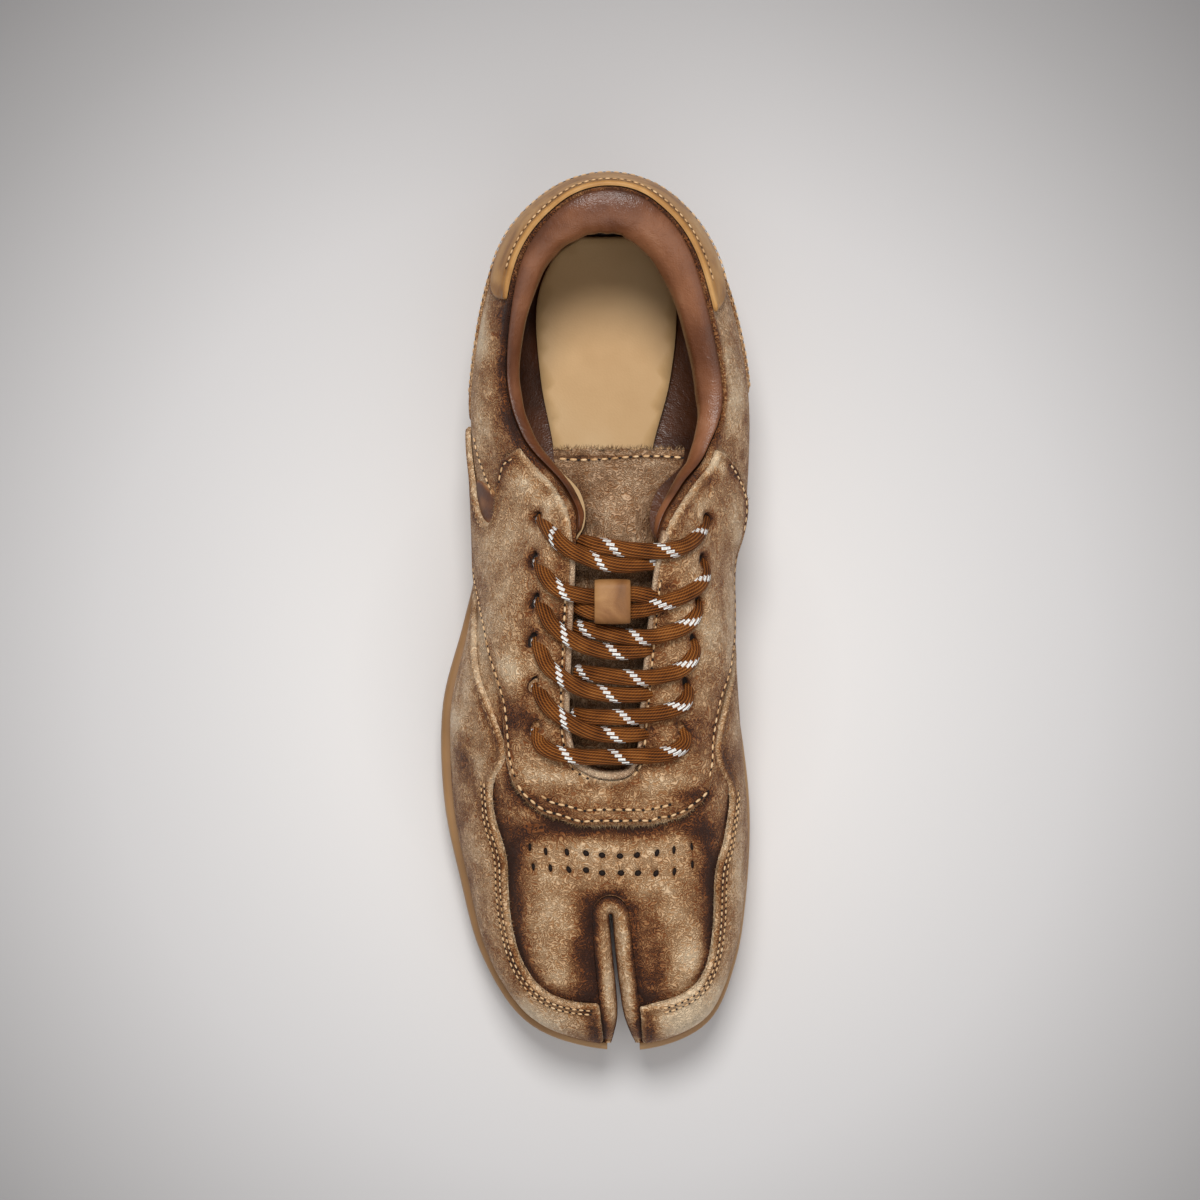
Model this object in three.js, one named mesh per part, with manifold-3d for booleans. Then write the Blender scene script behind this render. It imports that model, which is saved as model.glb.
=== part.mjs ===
// A low lace-up sneaker with a split toe, for the right foot: toe towards -Y, inner side towards +X.
// The upper is one hollow shell round a last. Overlays, collar, tongue and laces are built on the same last.
import * as THREE from 'three';
import { mergeVertices } from 'three/addons/utils/BufferGeometryUtils.js';
import Module from 'manifold-3d';

const wasm = await Module();
wasm.setup();

// Driving sizes in millimetres
const LENGTH = 268;
const BALL_WIDTH = 97;
const HEEL_HEIGHT = 82;
const ANKLE_HEIGHT = 66;
const INSTEP_HEIGHT = 88;
const THROAT_HEIGHT = 68;
const SOLE_AT_HEEL = 28;
const TOE_SPRING = 7;
const ARCH_LIFT = 3;
const WALL = 2.2;
const OVERLAY = 1.1;
const CLEARANCE = 0.3;
const LACE = 5.4;
const EYELET = 4.6;

function table(columns, ...rows) {
  return rows.map((row) => Object.fromEntries(columns.map((name, i) => [name, row[i]])));
}

// Sections of the last, from the back of the heel round the outer side, toe and inner side.
// soleX, ledge, topX and bulge are shares of BALL_WIDTH, and soleY and topY of LENGTH.
// The top line lies at rise, from one named height to another.
// bulgeUp and shoulderUp are shares of the wall's height, shoulder of its run from top to foot.
const SECTIONS = table(
  ['place', 'soleX', 'soleY', 'ledge', 'topX', 'topY', 'from', 'to', 'rise', 'bulge', 'bulgeUp',
    'shoulder', 'shoulderUp'],
  ['heel back', 0.041, 0.5, 0.02, 0.039, 0.47, ANKLE_HEIGHT, HEEL_HEIGHT, 1, 0.022, 0.33, 0.5, 0.68],
  ['heel corner', -0.16, 0.472, 0.02, -0.107, 0.451, ANKLE_HEIGHT, HEEL_HEIGHT, 0.93, 0.035, 0.33, 0.7, 0.68],
  ['heel side', -0.304, 0.396, 0.018, -0.236, 0.391, ANKLE_HEIGHT, HEEL_HEIGHT, 0.53, 0.055, 0.35, 1.15, 0.7],
  ['ankle', -0.361, 0.261, 0.016, -0.286, 0.278, ANKLE_HEIGHT, HEEL_HEIGHT, 0.03, 0.075, 0.35, 1.7, 0.75],
  ['ankle front', -0.369, 0.142, 0.018, -0.238, 0.198, ANKLE_HEIGHT, INSTEP_HEIGHT, 0.18, 0.06, 0.36, 1, 0.74],
  ['collar front', -0.379, 0.06, 0.025, -0.104, 0.14, ANKLE_HEIGHT, INSTEP_HEIGHT, 0.64, 0.055, 0.38, 0.75, 0.8],
  ['top eyelet', -0.423, -0.011, 0.045, -0.06, 0.093, THROAT_HEIGHT, INSTEP_HEIGHT, 1, 0.03, 0.42, 0.6, 0.93],
  ['mid throat', -0.488, -0.104, 0.05, -0.067, -0.007, THROAT_HEIGHT, INSTEP_HEIGHT, 0.675, 0.012, 0.45, 0.56, 0.94],
  ['ball', -0.485, -0.211, 0.05, -0.078, -0.104, THROAT_HEIGHT, INSTEP_HEIGHT, 0.29, 0.01, 0.48, 0.55, 0.94],
  ['fore', -0.433, -0.306, 0.046, -0.058, -0.151, THROAT_HEIGHT, INSTEP_HEIGHT, 0.1, 0.01, 0.48, 0.58, 0.84],
  ['toe side', -0.366, -0.392, 0.042, -0.023, -0.164, THROAT_HEIGHT, INSTEP_HEIGHT, 0.03, 0.01, 0.5, 0.6, 0.74],
  ['toe corner', -0.237, -0.4646, 0.042, 0.008, -0.169, THROAT_HEIGHT, INSTEP_HEIGHT, 0, 0.01, 0.5, 0.62, 0.66],
  ['toe outer', -0.052, -0.496, 0.04, 0.036, -0.171, THROAT_HEIGHT, INSTEP_HEIGHT, 0, 0.008, 0.5, 0.62, 0.64],
  ['toe inner', 0.175, -0.5, 0.04, 0.065, -0.171, THROAT_HEIGHT, INSTEP_HEIGHT, 0, 0.008, 0.5, 0.62, 0.64],
  ['inner corner', 0.361, -0.47, 0.038, 0.093, -0.168, THROAT_HEIGHT, INSTEP_HEIGHT, 0, 0.012, 0.5, 0.62, 0.68],
  ['inner toe side', 0.448, -0.403, 0.032, 0.115, -0.16, THROAT_HEIGHT, INSTEP_HEIGHT, 0.03, 0.018, 0.52, 0.64, 0.76],
  ['inner fore', 0.4845, -0.321, 0.03, 0.13, -0.146, THROAT_HEIGHT, INSTEP_HEIGHT, 0.12, 0.018, 0.52, 0.66, 0.86],
  ['inner ball', 0.494, -0.224, 0.03, 0.138, -0.097, THROAT_HEIGHT, INSTEP_HEIGHT, 0.33, 0.018, 0.5, 0.62, 0.93],
  ['inner mid throat', 0.464, -0.127, 0.03, 0.158, -0.015, THROAT_HEIGHT, INSTEP_HEIGHT, 0.64, 0.034, 0.48, 0.64, 0.94],
  ['inner top eyelet', 0.412, -0.03, 0.02, 0.196, 0.086, THROAT_HEIGHT, INSTEP_HEIGHT, 1, 0.098, 0.42, 0.72, 0.92],
  ['inner collar front', 0.397, 0.056, 0.016, 0.276, 0.14, ANKLE_HEIGHT, INSTEP_HEIGHT, 0.66, 0.105, 0.38, 0.95, 0.8],
  ['inner ankle front', 0.4155, 0.142, 0.016, 0.355, 0.181, ANKLE_HEIGHT, INSTEP_HEIGHT, 0.2, 0.155, 0.36, 1.85, 0.74],
  ['inner ankle', 0.433, 0.261, 0.016, 0.402, 0.254, ANKLE_HEIGHT, HEEL_HEIGHT, 0, 0.12, 0.35, 2.4, 0.75],
  ['inner heel side', 0.376, 0.396, 0.018, 0.312, 0.392, ANKLE_HEIGHT, HEEL_HEIGHT, 0.55, 0.052, 0.35, 1.15, 0.7],
  ['inner heel corner', 0.237, 0.472, 0.02, 0.183, 0.453, ANKLE_HEIGHT, HEEL_HEIGHT, 0.93, 0.035, 0.33, 0.7, 0.68],
);
for (const row of SECTIONS) row.topZ = row.from + (row.to - row.from) * row.rise;
const TURN = SECTIONS.length;

// Smooth value of a column at u, which counts rows and wraps round the shoe.
function cubic(a, b, c, d, f) {
  return 0.5 * (2 * b + (c - a) * f + (2 * a - 5 * b + 4 * c - d) * f * f + (3 * b - a - 3 * c + d) * f * f * f);
}
function around(column, u) {
  const i = Math.floor(u);
  const at = (k) => SECTIONS[(((i + k) % TURN) + TURN) % TURN][column];
  return cubic(at(-1), at(0), at(1), at(2), u - i);
}
// Smooth value of a column along an open table, at a share from 0 to 1.
function along(rows, column, share) {
  const place = Math.min(Math.max(share, 0), 1) * (rows.length - 1);
  const i = Math.min(Math.floor(place), rows.length - 2);
  const at = (k) => rows[Math.min(Math.max(i + k, 0), rows.length - 1)][column];
  return cubic(at(-1), at(0), at(1), at(2), place - i);
}

// Thickness of the sole under the foot, as shares of SOLE_AT_HEEL, from toe to heel.
const SOLE_THICKNESS = table(['thick'], [0.6], [0.62], [0.7], [0.78], [0.88], [0.96], [1.0]);
const TOE_BREAK = -0.3;
const ARCH = { front: -0.08, back: 0.18 };
const HEEL_BEVEL = { from: 0.46, lift: 2 };
function soleBottom(y) {
  const t = y / LENGTH;
  let z = 0;
  if (t < TOE_BREAK) z += TOE_SPRING * ((TOE_BREAK - t) / (0.5 + TOE_BREAK)) ** 2;
  if (t > ARCH.front && t < ARCH.back) {
    z += ARCH_LIFT * Math.sin((Math.PI * (t - ARCH.front)) / (ARCH.back - ARCH.front)) ** 2;
  }
  if (t > HEEL_BEVEL.from) z += HEEL_BEVEL.lift * ((t - HEEL_BEVEL.from) / (0.5 - HEEL_BEVEL.from)) ** 2;
  return z;
}
function soleTop(y) {
  const t = y / LENGTH;
  const spring = t < TOE_BREAK ? TOE_SPRING * ((TOE_BREAK - t) / (0.5 + TOE_BREAK)) ** 2 : 0;
  return spring + SOLE_AT_HEEL * along(SOLE_THICKNESS, 'thick', t + 0.5);
}

// Sole outline in plan at u, and its outward normal
function outline(u) {
  return new THREE.Vector2(around('soleX', u) * BALL_WIDTH, around('soleY', u) * LENGTH);
}
function outward(u) {
  const step = outline(u + 0.02).sub(outline(u - 0.02)).normalize();
  return new THREE.Vector2(step.y, -step.x);
}
function inset(u, distance) {
  return outline(u).addScaledVector(outward(u), -distance);
}

// Outer face of the upper at u round the shoe and v from the sole up to the top line
function skin(u, v) {
  const edge = outline(u);
  const n = outward(u);
  const foot2 = edge.clone().addScaledVector(n, -around('ledge', u) * BALL_WIDTH);
  const foot = new THREE.Vector3(foot2.x, foot2.y, soleTop(foot2.y) + CLEARANCE);
  const top = new THREE.Vector3(around('topX', u) * BALL_WIDTH, around('topY', u) * LENGTH, around('topZ', u));
  const height = top.z - foot.z;
  const bulge = around('bulge', u) * BALL_WIDTH;
  const low = new THREE.Vector3(foot.x + n.x * bulge, foot.y + n.y * bulge, foot.z + height * around('bulgeUp', u));
  const high = top.clone().lerp(foot, around('shoulder', u)).setZ(foot.z + height * around('shoulderUp', u));
  const w = 1 - v;
  return foot.multiplyScalar(w * w * w)
    .addScaledVector(low, 3 * w * w * v)
    .addScaledVector(high, 3 * w * v * v)
    .addScaledVector(top, v * v * v);
}
function slopeUp(u, v) {
  return skin(u, Math.min(v + 0.01, 1)).sub(skin(u, Math.max(v - 0.01, 0))).normalize();
}
function skinNormal(u, v) {
  const n = skin(u + 0.05, v).sub(skin(u - 0.05, v)).cross(slopeUp(u, v));
  if (v < 0.01) n.z = 0;
  return n.normalize();
}
function onSkin(u, v, offset) {
  return skin(u, v).addScaledVector(skinNormal(u, v), offset);
}
// Height of the skin over y along the middle of the toe
function ridge(y) {
  let v = 0.35;
  while (v < 1 && skin(12.5, v).y < y) v += 0.004;
  return skin(12.5, v).z;
}

// Closed solids from grids of points
function solid(points, triangles) {
  const vertProperties = new Float32Array(points.flatMap((p) => [p.x, p.y, p.z]));
  return new wasm.Manifold(new wasm.Mesh({ numProp: 3, vertProperties, triVerts: new Uint32Array(triangles.flat()) }));
}
function fromGeometry(geometry) {
  const bare = geometry.clone().deleteAttribute('normal').deleteAttribute('uv');
  const merged = mergeVertices(bare, 1e-3);
  return new wasm.Manifold(new wasm.Mesh({
    numProp: 3,
    vertProperties: new Float32Array(merged.attributes.position.array),
    triVerts: new Uint32Array(merged.index.array),
  }));
}
function toGeometry(made) {
  const mesh = made.getMesh();
  const geometry = new THREE.BufferGeometry();
  const flat = new Float32Array(mesh.numVert * 3);
  for (let i = 0; i < mesh.numVert; i += 1) {
    for (let k = 0; k < 3; k += 1) flat[3 * i + k] = mesh.vertProperties[mesh.numProp * i + k];
  }
  geometry.setAttribute('position', new THREE.BufferAttribute(flat, 3));
  geometry.setIndex(Array.from(mesh.triVerts));
  return geometry;
}
// rings[i][j]: each ring closes on itself. Without wrap, the first and last rings are capped.
// From the point turnAt on, faces split along their other diagonal.
function loft(rings, wrap = false, turnAt = Infinity) {
  const count = rings[0].length;
  const triangles = [];
  const last = wrap ? rings.length : rings.length - 1;
  for (let i = 0; i < last; i += 1) {
    const a = i * count;
    const b = ((i + 1) % rings.length) * count;
    for (let j = 0; j < count; j += 1) {
      const k = (j + 1) % count;
      if (j < turnAt) triangles.push([a + j, b + j, b + k], [a + j, b + k, a + k]);
      else triangles.push([a + j, b + j, a + k], [b + j, b + k, a + k]);
    }
  }
  if (!wrap) {
    for (const [ring, base, flip] of [[rings[0], 0, false], [rings.at(-1), (rings.length - 1) * count, true]]) {
      for (const [a, b, c] of capFaces(ring)) {
        triangles.push(flip ? [base + a, base + c, base + b] : [base + a, base + b, base + c]);
      }
    }
  }
  const made = solid(rings.flat(), triangles);
  return made.volume() > 0 ? made : solid(rings.flat(), triangles.map(([a, b, c]) => [a, c, b]));
}
// Faces of one closed ring, seen along its own normal
function capFaces(ring) {
  const normal = new THREE.Vector3();
  ring.forEach((p, i) => {
    const q = ring[(i + 1) % ring.length];
    normal.add(new THREE.Vector3().crossVectors(p, q));
  });
  const turn = new THREE.Quaternion().setFromUnitVectors(normal.normalize(), new THREE.Vector3(0, 0, 1));
  const flat = ring.map((p) => p.clone().applyQuaternion(turn)).map((p) => new THREE.Vector2(p.x, p.y));
  return THREE.ShapeUtils.triangulateShape(flat, []);
}
// An open sheet with thickness: two grids of points, back and front, with closed edges
function sheet(front, back) {
  return loft(front.map((row, i) => [...row, ...back[i].slice().reverse()]));
}
function steps(count, from = 0, to = 1) {
  return Array.from({ length: count + 1 }, (_, i) => from + ((to - from) * i) / count);
}

// Sole: rings from below the tread up the side wall and over the rim to the footbed
const SOLE_RINGS = table(
  ['inset', 'up', 'drop'],
  [5.1, -2, null],
  [0.9, 2, null],
  [0.9, 5.4, null],
  [0, 6.2, null],
  [0, null, 2.2],
  [0.6, null, 0.6],
  [1.6, null, 0],
  [9.0, null, 0],
);
const FOOTBED = { inset: 8.9, drop: 4 };
const RIM_STATIONS = 50;
function soleRing({ inset: distance, up, drop }) {
  return steps(RIM_STATIONS - 1, 0, TURN - TURN / RIM_STATIONS).map((u) => {
    const p = inset(u, distance);
    const z = drop === null ? soleBottom(p.y) + up : soleTop(p.y) - drop;
    return new THREE.Vector3(p.x, p.y, z);
  });
}

// Split of the toe, in plan: its middle line from the root to the toe, with the gap in the sole,
// the gap between the lips and the distance from the middle to the seam. All are shares of
// BALL_WIDTH but y, which is a share of LENGTH.
const SPLIT = table(
  ['y', 'x', 'soleGap', 'lipGap', 'seam'],
  [-0.338, 0.048, 0.02, 0.009, 0.058],
  [-0.38, 0.058, 0.035, 0.009, 0.062],
  [-0.42, 0.07, 0.05, 0.01, 0.063],
  [-0.455, 0.08, 0.07, 0.02, 0.063],
  [-0.48, 0.086, 0.09, 0.055, 0.062],
  [-0.495, 0.09, 0.104, 0.085, 0.062],
);
const SPLIT_ROOT = 6.5;
function splitAt(share) {
  return {
    x: along(SPLIT, 'x', share) * BALL_WIDTH,
    y: along(SPLIT, 'y', share) * LENGTH,
    soleHalf: (along(SPLIT, 'soleGap', share) * BALL_WIDTH) / 2,
    lipHalf: (along(SPLIT, 'lipGap', share) * BALL_WIDTH) / 2,
    seam: along(SPLIT, 'seam', share) * BALL_WIDTH,
  };
}
// Upright cutter in the shape of a U that is open past the toe
function splitCutter(halfWidth, low, high, root) {
  const left = [];
  const right = [];
  for (const share of steps(8, 0, 1)) {
    const at = splitAt(share);
    left.push(new THREE.Vector2(at.x - halfWidth(at), at.y));
    right.push(new THREE.Vector2(at.x + halfWidth(at), at.y));
  }
  const past = new THREE.Vector2(0, -20);
  left.push(left.at(-1).clone().add(past));
  right.push(right.at(-1).clone().add(past));
  const start = splitAt(0);
  const bend = steps(6, 0, Math.PI).slice(1, -1).map((angle) => new THREE.Vector2(
    start.x + halfWidth(start) * Math.cos(angle),
    start.y + root * Math.sin(angle),
  ));
  const shape = new THREE.Shape([...left.reverse(), ...bend.reverse(), ...right]);
  const made = new THREE.ExtrudeGeometry(shape, { depth: high - low, bevelEnabled: false });
  return fromGeometry(made.translate(0, 0, low));
}

// Tread: bars across the forefoot and heel are left between grooves cut up into the sole.
const GROOVE = { wide: 4, deep: 1.8 };
const GROOVES = table(['from', 'to', 'count'], [-0.4, -0.12, 6], [0.22, 0.43, 4]);
function grooves() {
  const made = [];
  for (const { from, to, count } of GROOVES) {
    for (const y of steps(count - 1, from * LENGTH, to * LENGTH)) {
      const top = soleBottom(y) + GROOVE.deep;
      const box = new THREE.BoxGeometry(2 * BALL_WIDTH, GROOVE.wide, 10);
      made.push(fromGeometry(box.translate(0, y, top - 5)));
    }
  }
  return wasm.Manifold.union(made);
}
// Upright prism on a closed outline in plan, and a plate the width of the shoe between two heights
// that follow the length
function prism(points, low, high) {
  const made = new THREE.ExtrudeGeometry(new THREE.Shape(points), { depth: high - low, bevelEnabled: false });
  return fromGeometry(made.translate(0, 0, low));
}
function plate(low, high) {
  const places = steps(28, -0.6 * LENGTH, 0.6 * LENGTH);
  const rows = (height, x) => places.map((y) => new THREE.Vector3(x, y, height(y)));
  const ring = (x) => [...rows(low, x), ...rows(high, x).reverse()];
  return loft([ring(-BALL_WIDTH), ring(BALL_WIDTH)]);
}
function sole() {
  const body = loft(SOLE_RINGS.map(soleRing)).intersect(plate(soleBottom, () => 2 * SOLE_AT_HEEL));
  const gap = splitCutter((at) => at.soleHalf, -5, SOLE_AT_HEEL + 20, 1.2);
  const bed = prism(steps(RIM_STATIONS, 0, TURN).slice(1).map((u) => inset(u, FOOTBED.inset)), 0, 2 * SOLE_AT_HEEL);
  const hollow = bed.intersect(plate((y) => soleTop(y) - FOOTBED.drop, () => 2 * SOLE_AT_HEEL));
  return body.subtract(hollow).subtract(gap).subtract(grooves());
}

// Insole: centre line and half width from heel to toe, as shares of BALL_WIDTH and LENGTH
const INSOLE_THICKNESS = 3;
const INSOLE = table(
  ['y', 'x', 'half'],
  [0.435, 0.037, 0.08],
  [0.41, 0.036, 0.17],
  [0.355, 0.035, 0.222],
  [0.27, 0.032, 0.205],
  [0.185, 0.024, 0.155],
  [0.1, 0.02, 0.15],
  [0, 0.01, 0.21],
  [-0.1, 0.005, 0.32],
  [-0.2, 0.012, 0.36],
  [-0.3, 0.03, 0.345],
  [-0.38, 0.055, 0.29],
  [-0.425, 0.075, 0.2],
  [-0.445, 0.085, 0.11],
);
function insole() {
  const side = (sign) => steps(20).map((share) => new THREE.Vector2(
    (along(INSOLE, 'x', share) + sign * along(INSOLE, 'half', share)) * BALL_WIDTH,
    along(INSOLE, 'y', share) * LENGTH,
  ));
  const foot = prism([...side(1), ...side(-1).reverse()], 0, 2 * SOLE_AT_HEEL);
  const bed = (y) => soleTop(y) - FOOTBED.drop + CLEARANCE;
  const body = foot.intersect(plate(bed, (y) => bed(y) + INSOLE_THICKNESS));
  const wide = (at) => Math.max(at.seam, at.soleHalf) + CLEARANCE;
  return body.subtract(splitCutter(wide, 0, INSTEP_HEIGHT, SPLIT_ROOT + CLEARANCE));
}

// Eyelets, top row first: u and v of each hole, and u where the lace crosses the throat's edge.
// ahead is 1 where the strand from the outer side lies nearer the toe, and -1 where it doesn't.
const EYELETS = table(
  ['outerU', 'outerV', 'outerEdge', 'innerU', 'innerV', 'innerEdge', 'ahead'],
  [5.38, 0.86, 6.27, 19.87, 0.855, 18.86, 1],
  [6.0, 0.81, 6.69, 19.26, 0.786, 18.28, -1],
  [6.46, 0.82, 7.2, 18.77, 0.763, 17.93, 1],
  [6.91, 0.82, 7.68, 18.33, 0.778, 17.4, 1],
  [7.38, 0.83, 8.25, 17.78, 0.801, 16.85, 1],
  [7.87, 0.84, 9.4, 17.18, 0.819, 15.8, 1],
);
function eyeletHoles() {
  const holes = [];
  for (const row of EYELETS) {
    for (const [u, v] of [[row.outerU, row.outerV], [row.innerU, row.innerV]]) {
      const pin = new THREE.CylinderGeometry(EYELET / 2, EYELET / 2, 12, 6);
      pin.applyQuaternion(new THREE.Quaternion().setFromUnitVectors(new THREE.Vector3(0, 1, 0), skinNormal(u, v)));
      const at = onSkin(u, v, 0);
      holes.push(fromGeometry(pin.translate(at.x, at.y, at.z)));
    }
  }
  return wasm.Manifold.union(holes);
}
const HOLES = eyeletHoles();

// Upper: one hollow shell, open at the collar and throat, along the split and underneath
const UPPER_STATIONS = 50;
const UPPER_LEVELS = 7;
const seamCut = splitCutter((at) => at.seam, 0, INSTEP_HEIGHT, SPLIT_ROOT);
function shell(outside, inside) {
  const rings = steps(UPPER_STATIONS - 1, 0, TURN - TURN / UPPER_STATIONS).map((u) => {
    const outer = steps(UPPER_LEVELS).map((v) => onSkin(u, v, outside));
    const inner = steps(UPPER_LEVELS).map((v) => onSkin(u, v, inside));
    return [...outer, ...inner.reverse()];
  });
  return loft(rings, true, UPPER_LEVELS + 1);
}
function upper() {
  return shell(0, -WALL).subtract(seamCut).subtract(HOLES);
}

// Overlays: parts of a second shell round the upper, between a low and a high edge given as v
const COVER = shell(CLEARANCE + OVERLAY, CLEARANCE);
function cover(...tables) {
  const cutters = tables.map((rows) => {
    const grid = (offset) => edges(rows).map(({ u, low, high }) => (
      steps(2, low, high).map((v) => onSkin(u, v, offset))
    ));
    return sheet(grid(OVERLAY * 3), grid(-WALL));
  });
  return COVER.intersect(wasm.Manifold.union(cutters));
}
// The rows of an overlay, with the upper's own stations filled in between them
function edges(rows) {
  const filled = [rows[0]];
  for (let i = 1; i < rows.length; i += 1) {
    const [a, b] = [rows[i - 1], rows[i]];
    for (let k = Math.floor((a.u * UPPER_STATIONS) / TURN) + 1; (k * TURN) / UPPER_STATIONS < b.u - 0.05; k += 1) {
      const u = (k * TURN) / UPPER_STATIONS;
      const f = (u - a.u) / (b.u - a.u);
      if (u - a.u > 0.05) {
        filled.push({ u, low: a.low + (b.low - a.low) * f, high: a.high + (b.high - a.high) * f });
      }
    }
    filled.push(b);
  }
  return filled;
}
// The eyestay is a U round the throat, from the outer to the inner rear corner. Below a notch in
// its outer rear edge it runs on as the side panel.
const EYESTAY = table(
  ['u', 'low', 'high'],
  [4.05, 0.86, 0.95],
  [4.18, 0.78, 0.985],
  [4.42, 0.69, 0.985],
  [4.6, 0.635, 0.985],
  [4.68, 0.55, 0.985],
  [4.72, 0.2, 0.985],
  [5.1, 0.2, 0.985],
  [6, 0.363, 0.985],
  [6.8, 0.551, 0.985],
  [7.3, 0.631, 0.985],
  [8.3, 0.66, 0.985],
  [9.2, 0.783, 0.985],
  [10.3, 0.86, 0.985],
  [12.1, 0.896, 0.985],
  [13.9, 0.885, 0.985],
  [15.48, 0.823, 0.985],
  [16.24, 0.721, 0.985],
  [16.66, 0.621, 0.985],
  [17.06, 0.575, 0.985],
  [18, 0.515, 0.985],
  [18.6, 0.379, 0.985],
  [19.1, 0.3, 0.985],
  [20.1, 0.4, 0.985],
  [20.9, 0.51, 0.985],
  [21.1, 0.62, 0.985],
  [21.24, 0.8, 0.9],
);
const SIDE_PANEL = table(
  ['u', 'low', 'high'],
  [3.35, 0.21, 0.33],
  [4.07, 0.2, 0.42],
  [4.43, 0.2, 0.467],
  [4.6, 0.2, 0.52],
  [4.75, 0.2, 0.6],
);
const GUARD_OUTER = table(
  ['u', 'low', 'high'],
  [5.2, 0.02, 0.06],
  [6.3, 0.02, 0.31],
  [6.9, 0.02, 0.458],
  [7.4, 0.02, 0.573],
  [7.7, 0.02, 0.63],
  [8.02, 0.02, 0.64],
  [8.14, 0.02, 0.52],
  [8.5, 0.02, 0.507],
  [9.2, 0.02, 0.548],
  [9.6, 0.02, 0.516],
  [10.3, 0.02, 0.395],
  [10.7, 0.02, 0.362],
  [11.8, 0.02, 0.355],
  [12.5, 0.02, 0.385],
);
const GUARD_INNER = table(
  ['u', 'low', 'high'],
  [12.5, 0.02, 0.385],
  [13.4, 0.02, 0.364],
  [14.4, 0.02, 0.372],
  [14.77, 0.02, 0.403],
  [15.5, 0.02, 0.512],
  [16, 0.02, 0.516],
  [16.5, 0.02, 0.44],
  [17.08, 0.02, 0.365],
  [17.22, 0.02, 0.525],
  [17.6, 0.02, 0.5],
  [18.34, 0.02, 0.38],
  [18.8, 0.02, 0.25],
  [19.4, 0.02, 0.08],
);
const COUNTER = table(
  ['u', 'low', 'high'],
  [21.9, 0.02, 0.36],
  [23, 0.02, 0.42],
  [25, 0.02, 0.44],
  [27, 0.02, 0.42],
  [28.1, 0.02, 0.36],
);
const HEEL_TAB = table(
  ['u', 'low', 'high'],
  [22.66, 0.9, 0.985],
  [22.85, 0.7, 0.985],
  [23.4, 0.55, 0.985],
  [25, 0.49, 0.985],
  [26.6, 0.55, 0.985],
  [27.15, 0.7, 0.985],
  [27.3, 0.9, 0.985],
);

// Lips of the split: one strip that turns over the two edges and lines the gap down to the sole.
// at runs from the gap (0) to the seam (1), and down is measured from the skin.
const LIP_FRONT = table(['at', 'down'], [0, 5], [0.06, 2.2], [0.3, 0.2], [0.65, -0.5], [1, 0]);
const LIP_WALL = 1.6;
function lipRing(at, across) {
  const place = (distance, z) => {
    const [x, y] = across(distance);
    return new THREE.Vector3(x, y, z);
  };
  const skinZ = (distance) => ridge(across(distance)[1]);
  const seam = at.seam - CLEARANCE;
  const floor = soleTop(at.y) + CLEARANCE;
  const edge = Math.min(at.lipHalf, seam - LIP_WALL - 0.5);
  const foot = Math.min(at.soleHalf + CLEARANCE, seam - LIP_WALL - 0.5);
  const run = seam - edge;
  const crown = Math.min(1, (skinZ(seam) - floor) / 16);
  const front = LIP_FRONT.map((row) => {
    const distance = edge + row.at * run;
    return place(distance, Math.max(skinZ(distance) - row.down * crown, floor + 2));
  });
  const back = LIP_FRONT.slice().reverse().map((row) => {
    const distance = Math.min(edge + row.at * run + LIP_WALL * (1 - row.at), seam - 0.02);
    return place(distance, Math.max(skinZ(distance) - row.down * crown - LIP_WALL, floor + 1));
  });
  return [place(foot, floor), ...front, ...back, place(foot + LIP_WALL, floor)];
}
// The lips stop short of the sole's tip, at this share of the split.
const LIPS_END = 0.93;
function toeLips() {
  const straight = [LIPS_END, ...steps(7, 0.875, 0)].map(splitAt);
  const start = splitAt(0);
  const rings = [];
  for (const at of straight) rings.push(lipRing(at, (d) => [at.x - d, at.y]));
  for (const angle of steps(6, Math.PI, 0).slice(1, -1)) {
    rings.push(lipRing(start, (d) => [
      start.x + d * Math.cos(angle),
      start.y + d * (SPLIT_ROOT / start.seam) * Math.sin(angle),
    ]));
  }
  for (const at of straight.slice().reverse()) rings.push(lipRing(at, (d) => [at.x + d, at.y]));
  return loft(rings);
}

// Collar: a padded leather roll on the top line, with its lining down inside the wall.
// It shares the upper's stations, counted from the back of the heel. wide is its thickness in mm
// and reach how far down its lining goes.
const COLLAR_END = 12;
const COLLAR_PAD = table(
  ['wide', 'reach'],
  [2.4, 0.25], [3.2, 0.5], [5.5, 1], [8, 1], [10.5, 1], [11, 1], [10.5, 1], [7.5, 1], [5, 1], [4.2, 0.9],
  [3, 0.5], [2.4, 0.25],
);
// levels counts down from the top line in the upper's own levels.
const COLLAR_RING = table(
  ['levels', 'deep', 'rise'],
  [4, 0, 0],
  [3, 0, 0],
  [2, 0, 0],
  [1, 0, 0],
  [0, 0, 0.6],
  [0, 0.25, 2.6],
  [0, 0.7, 2.3],
  [0, 0.98, 0],
  [1, 1, 0],
  [2, 0.7, 0],
  [4, 0.24, 0],
);
function collar() {
  const rings = [];
  for (let station = -COLLAR_END; station <= COLLAR_END; station += 1) {
    const u = (station * TURN) / UPPER_STATIONS;
    const share = (station + COLLAR_END) / (2 * COLLAR_END);
    const wide = along(COLLAR_PAD, 'wide', share);
    const reach = along(COLLAR_PAD, 'reach', share);
    const lift = Math.min(1, wide / 6);
    rings.push(COLLAR_RING.map(({ levels, deep, rise }) => (
      onSkin(u, 1 - (levels * reach) / UPPER_LEVELS, -(WALL + CLEARANCE * (2.6 - reach) + wide * deep))
        .addScaledVector(slopeUp(u, 1), rise * lift)
    )));
  }
  return loft(rings);
}

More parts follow.
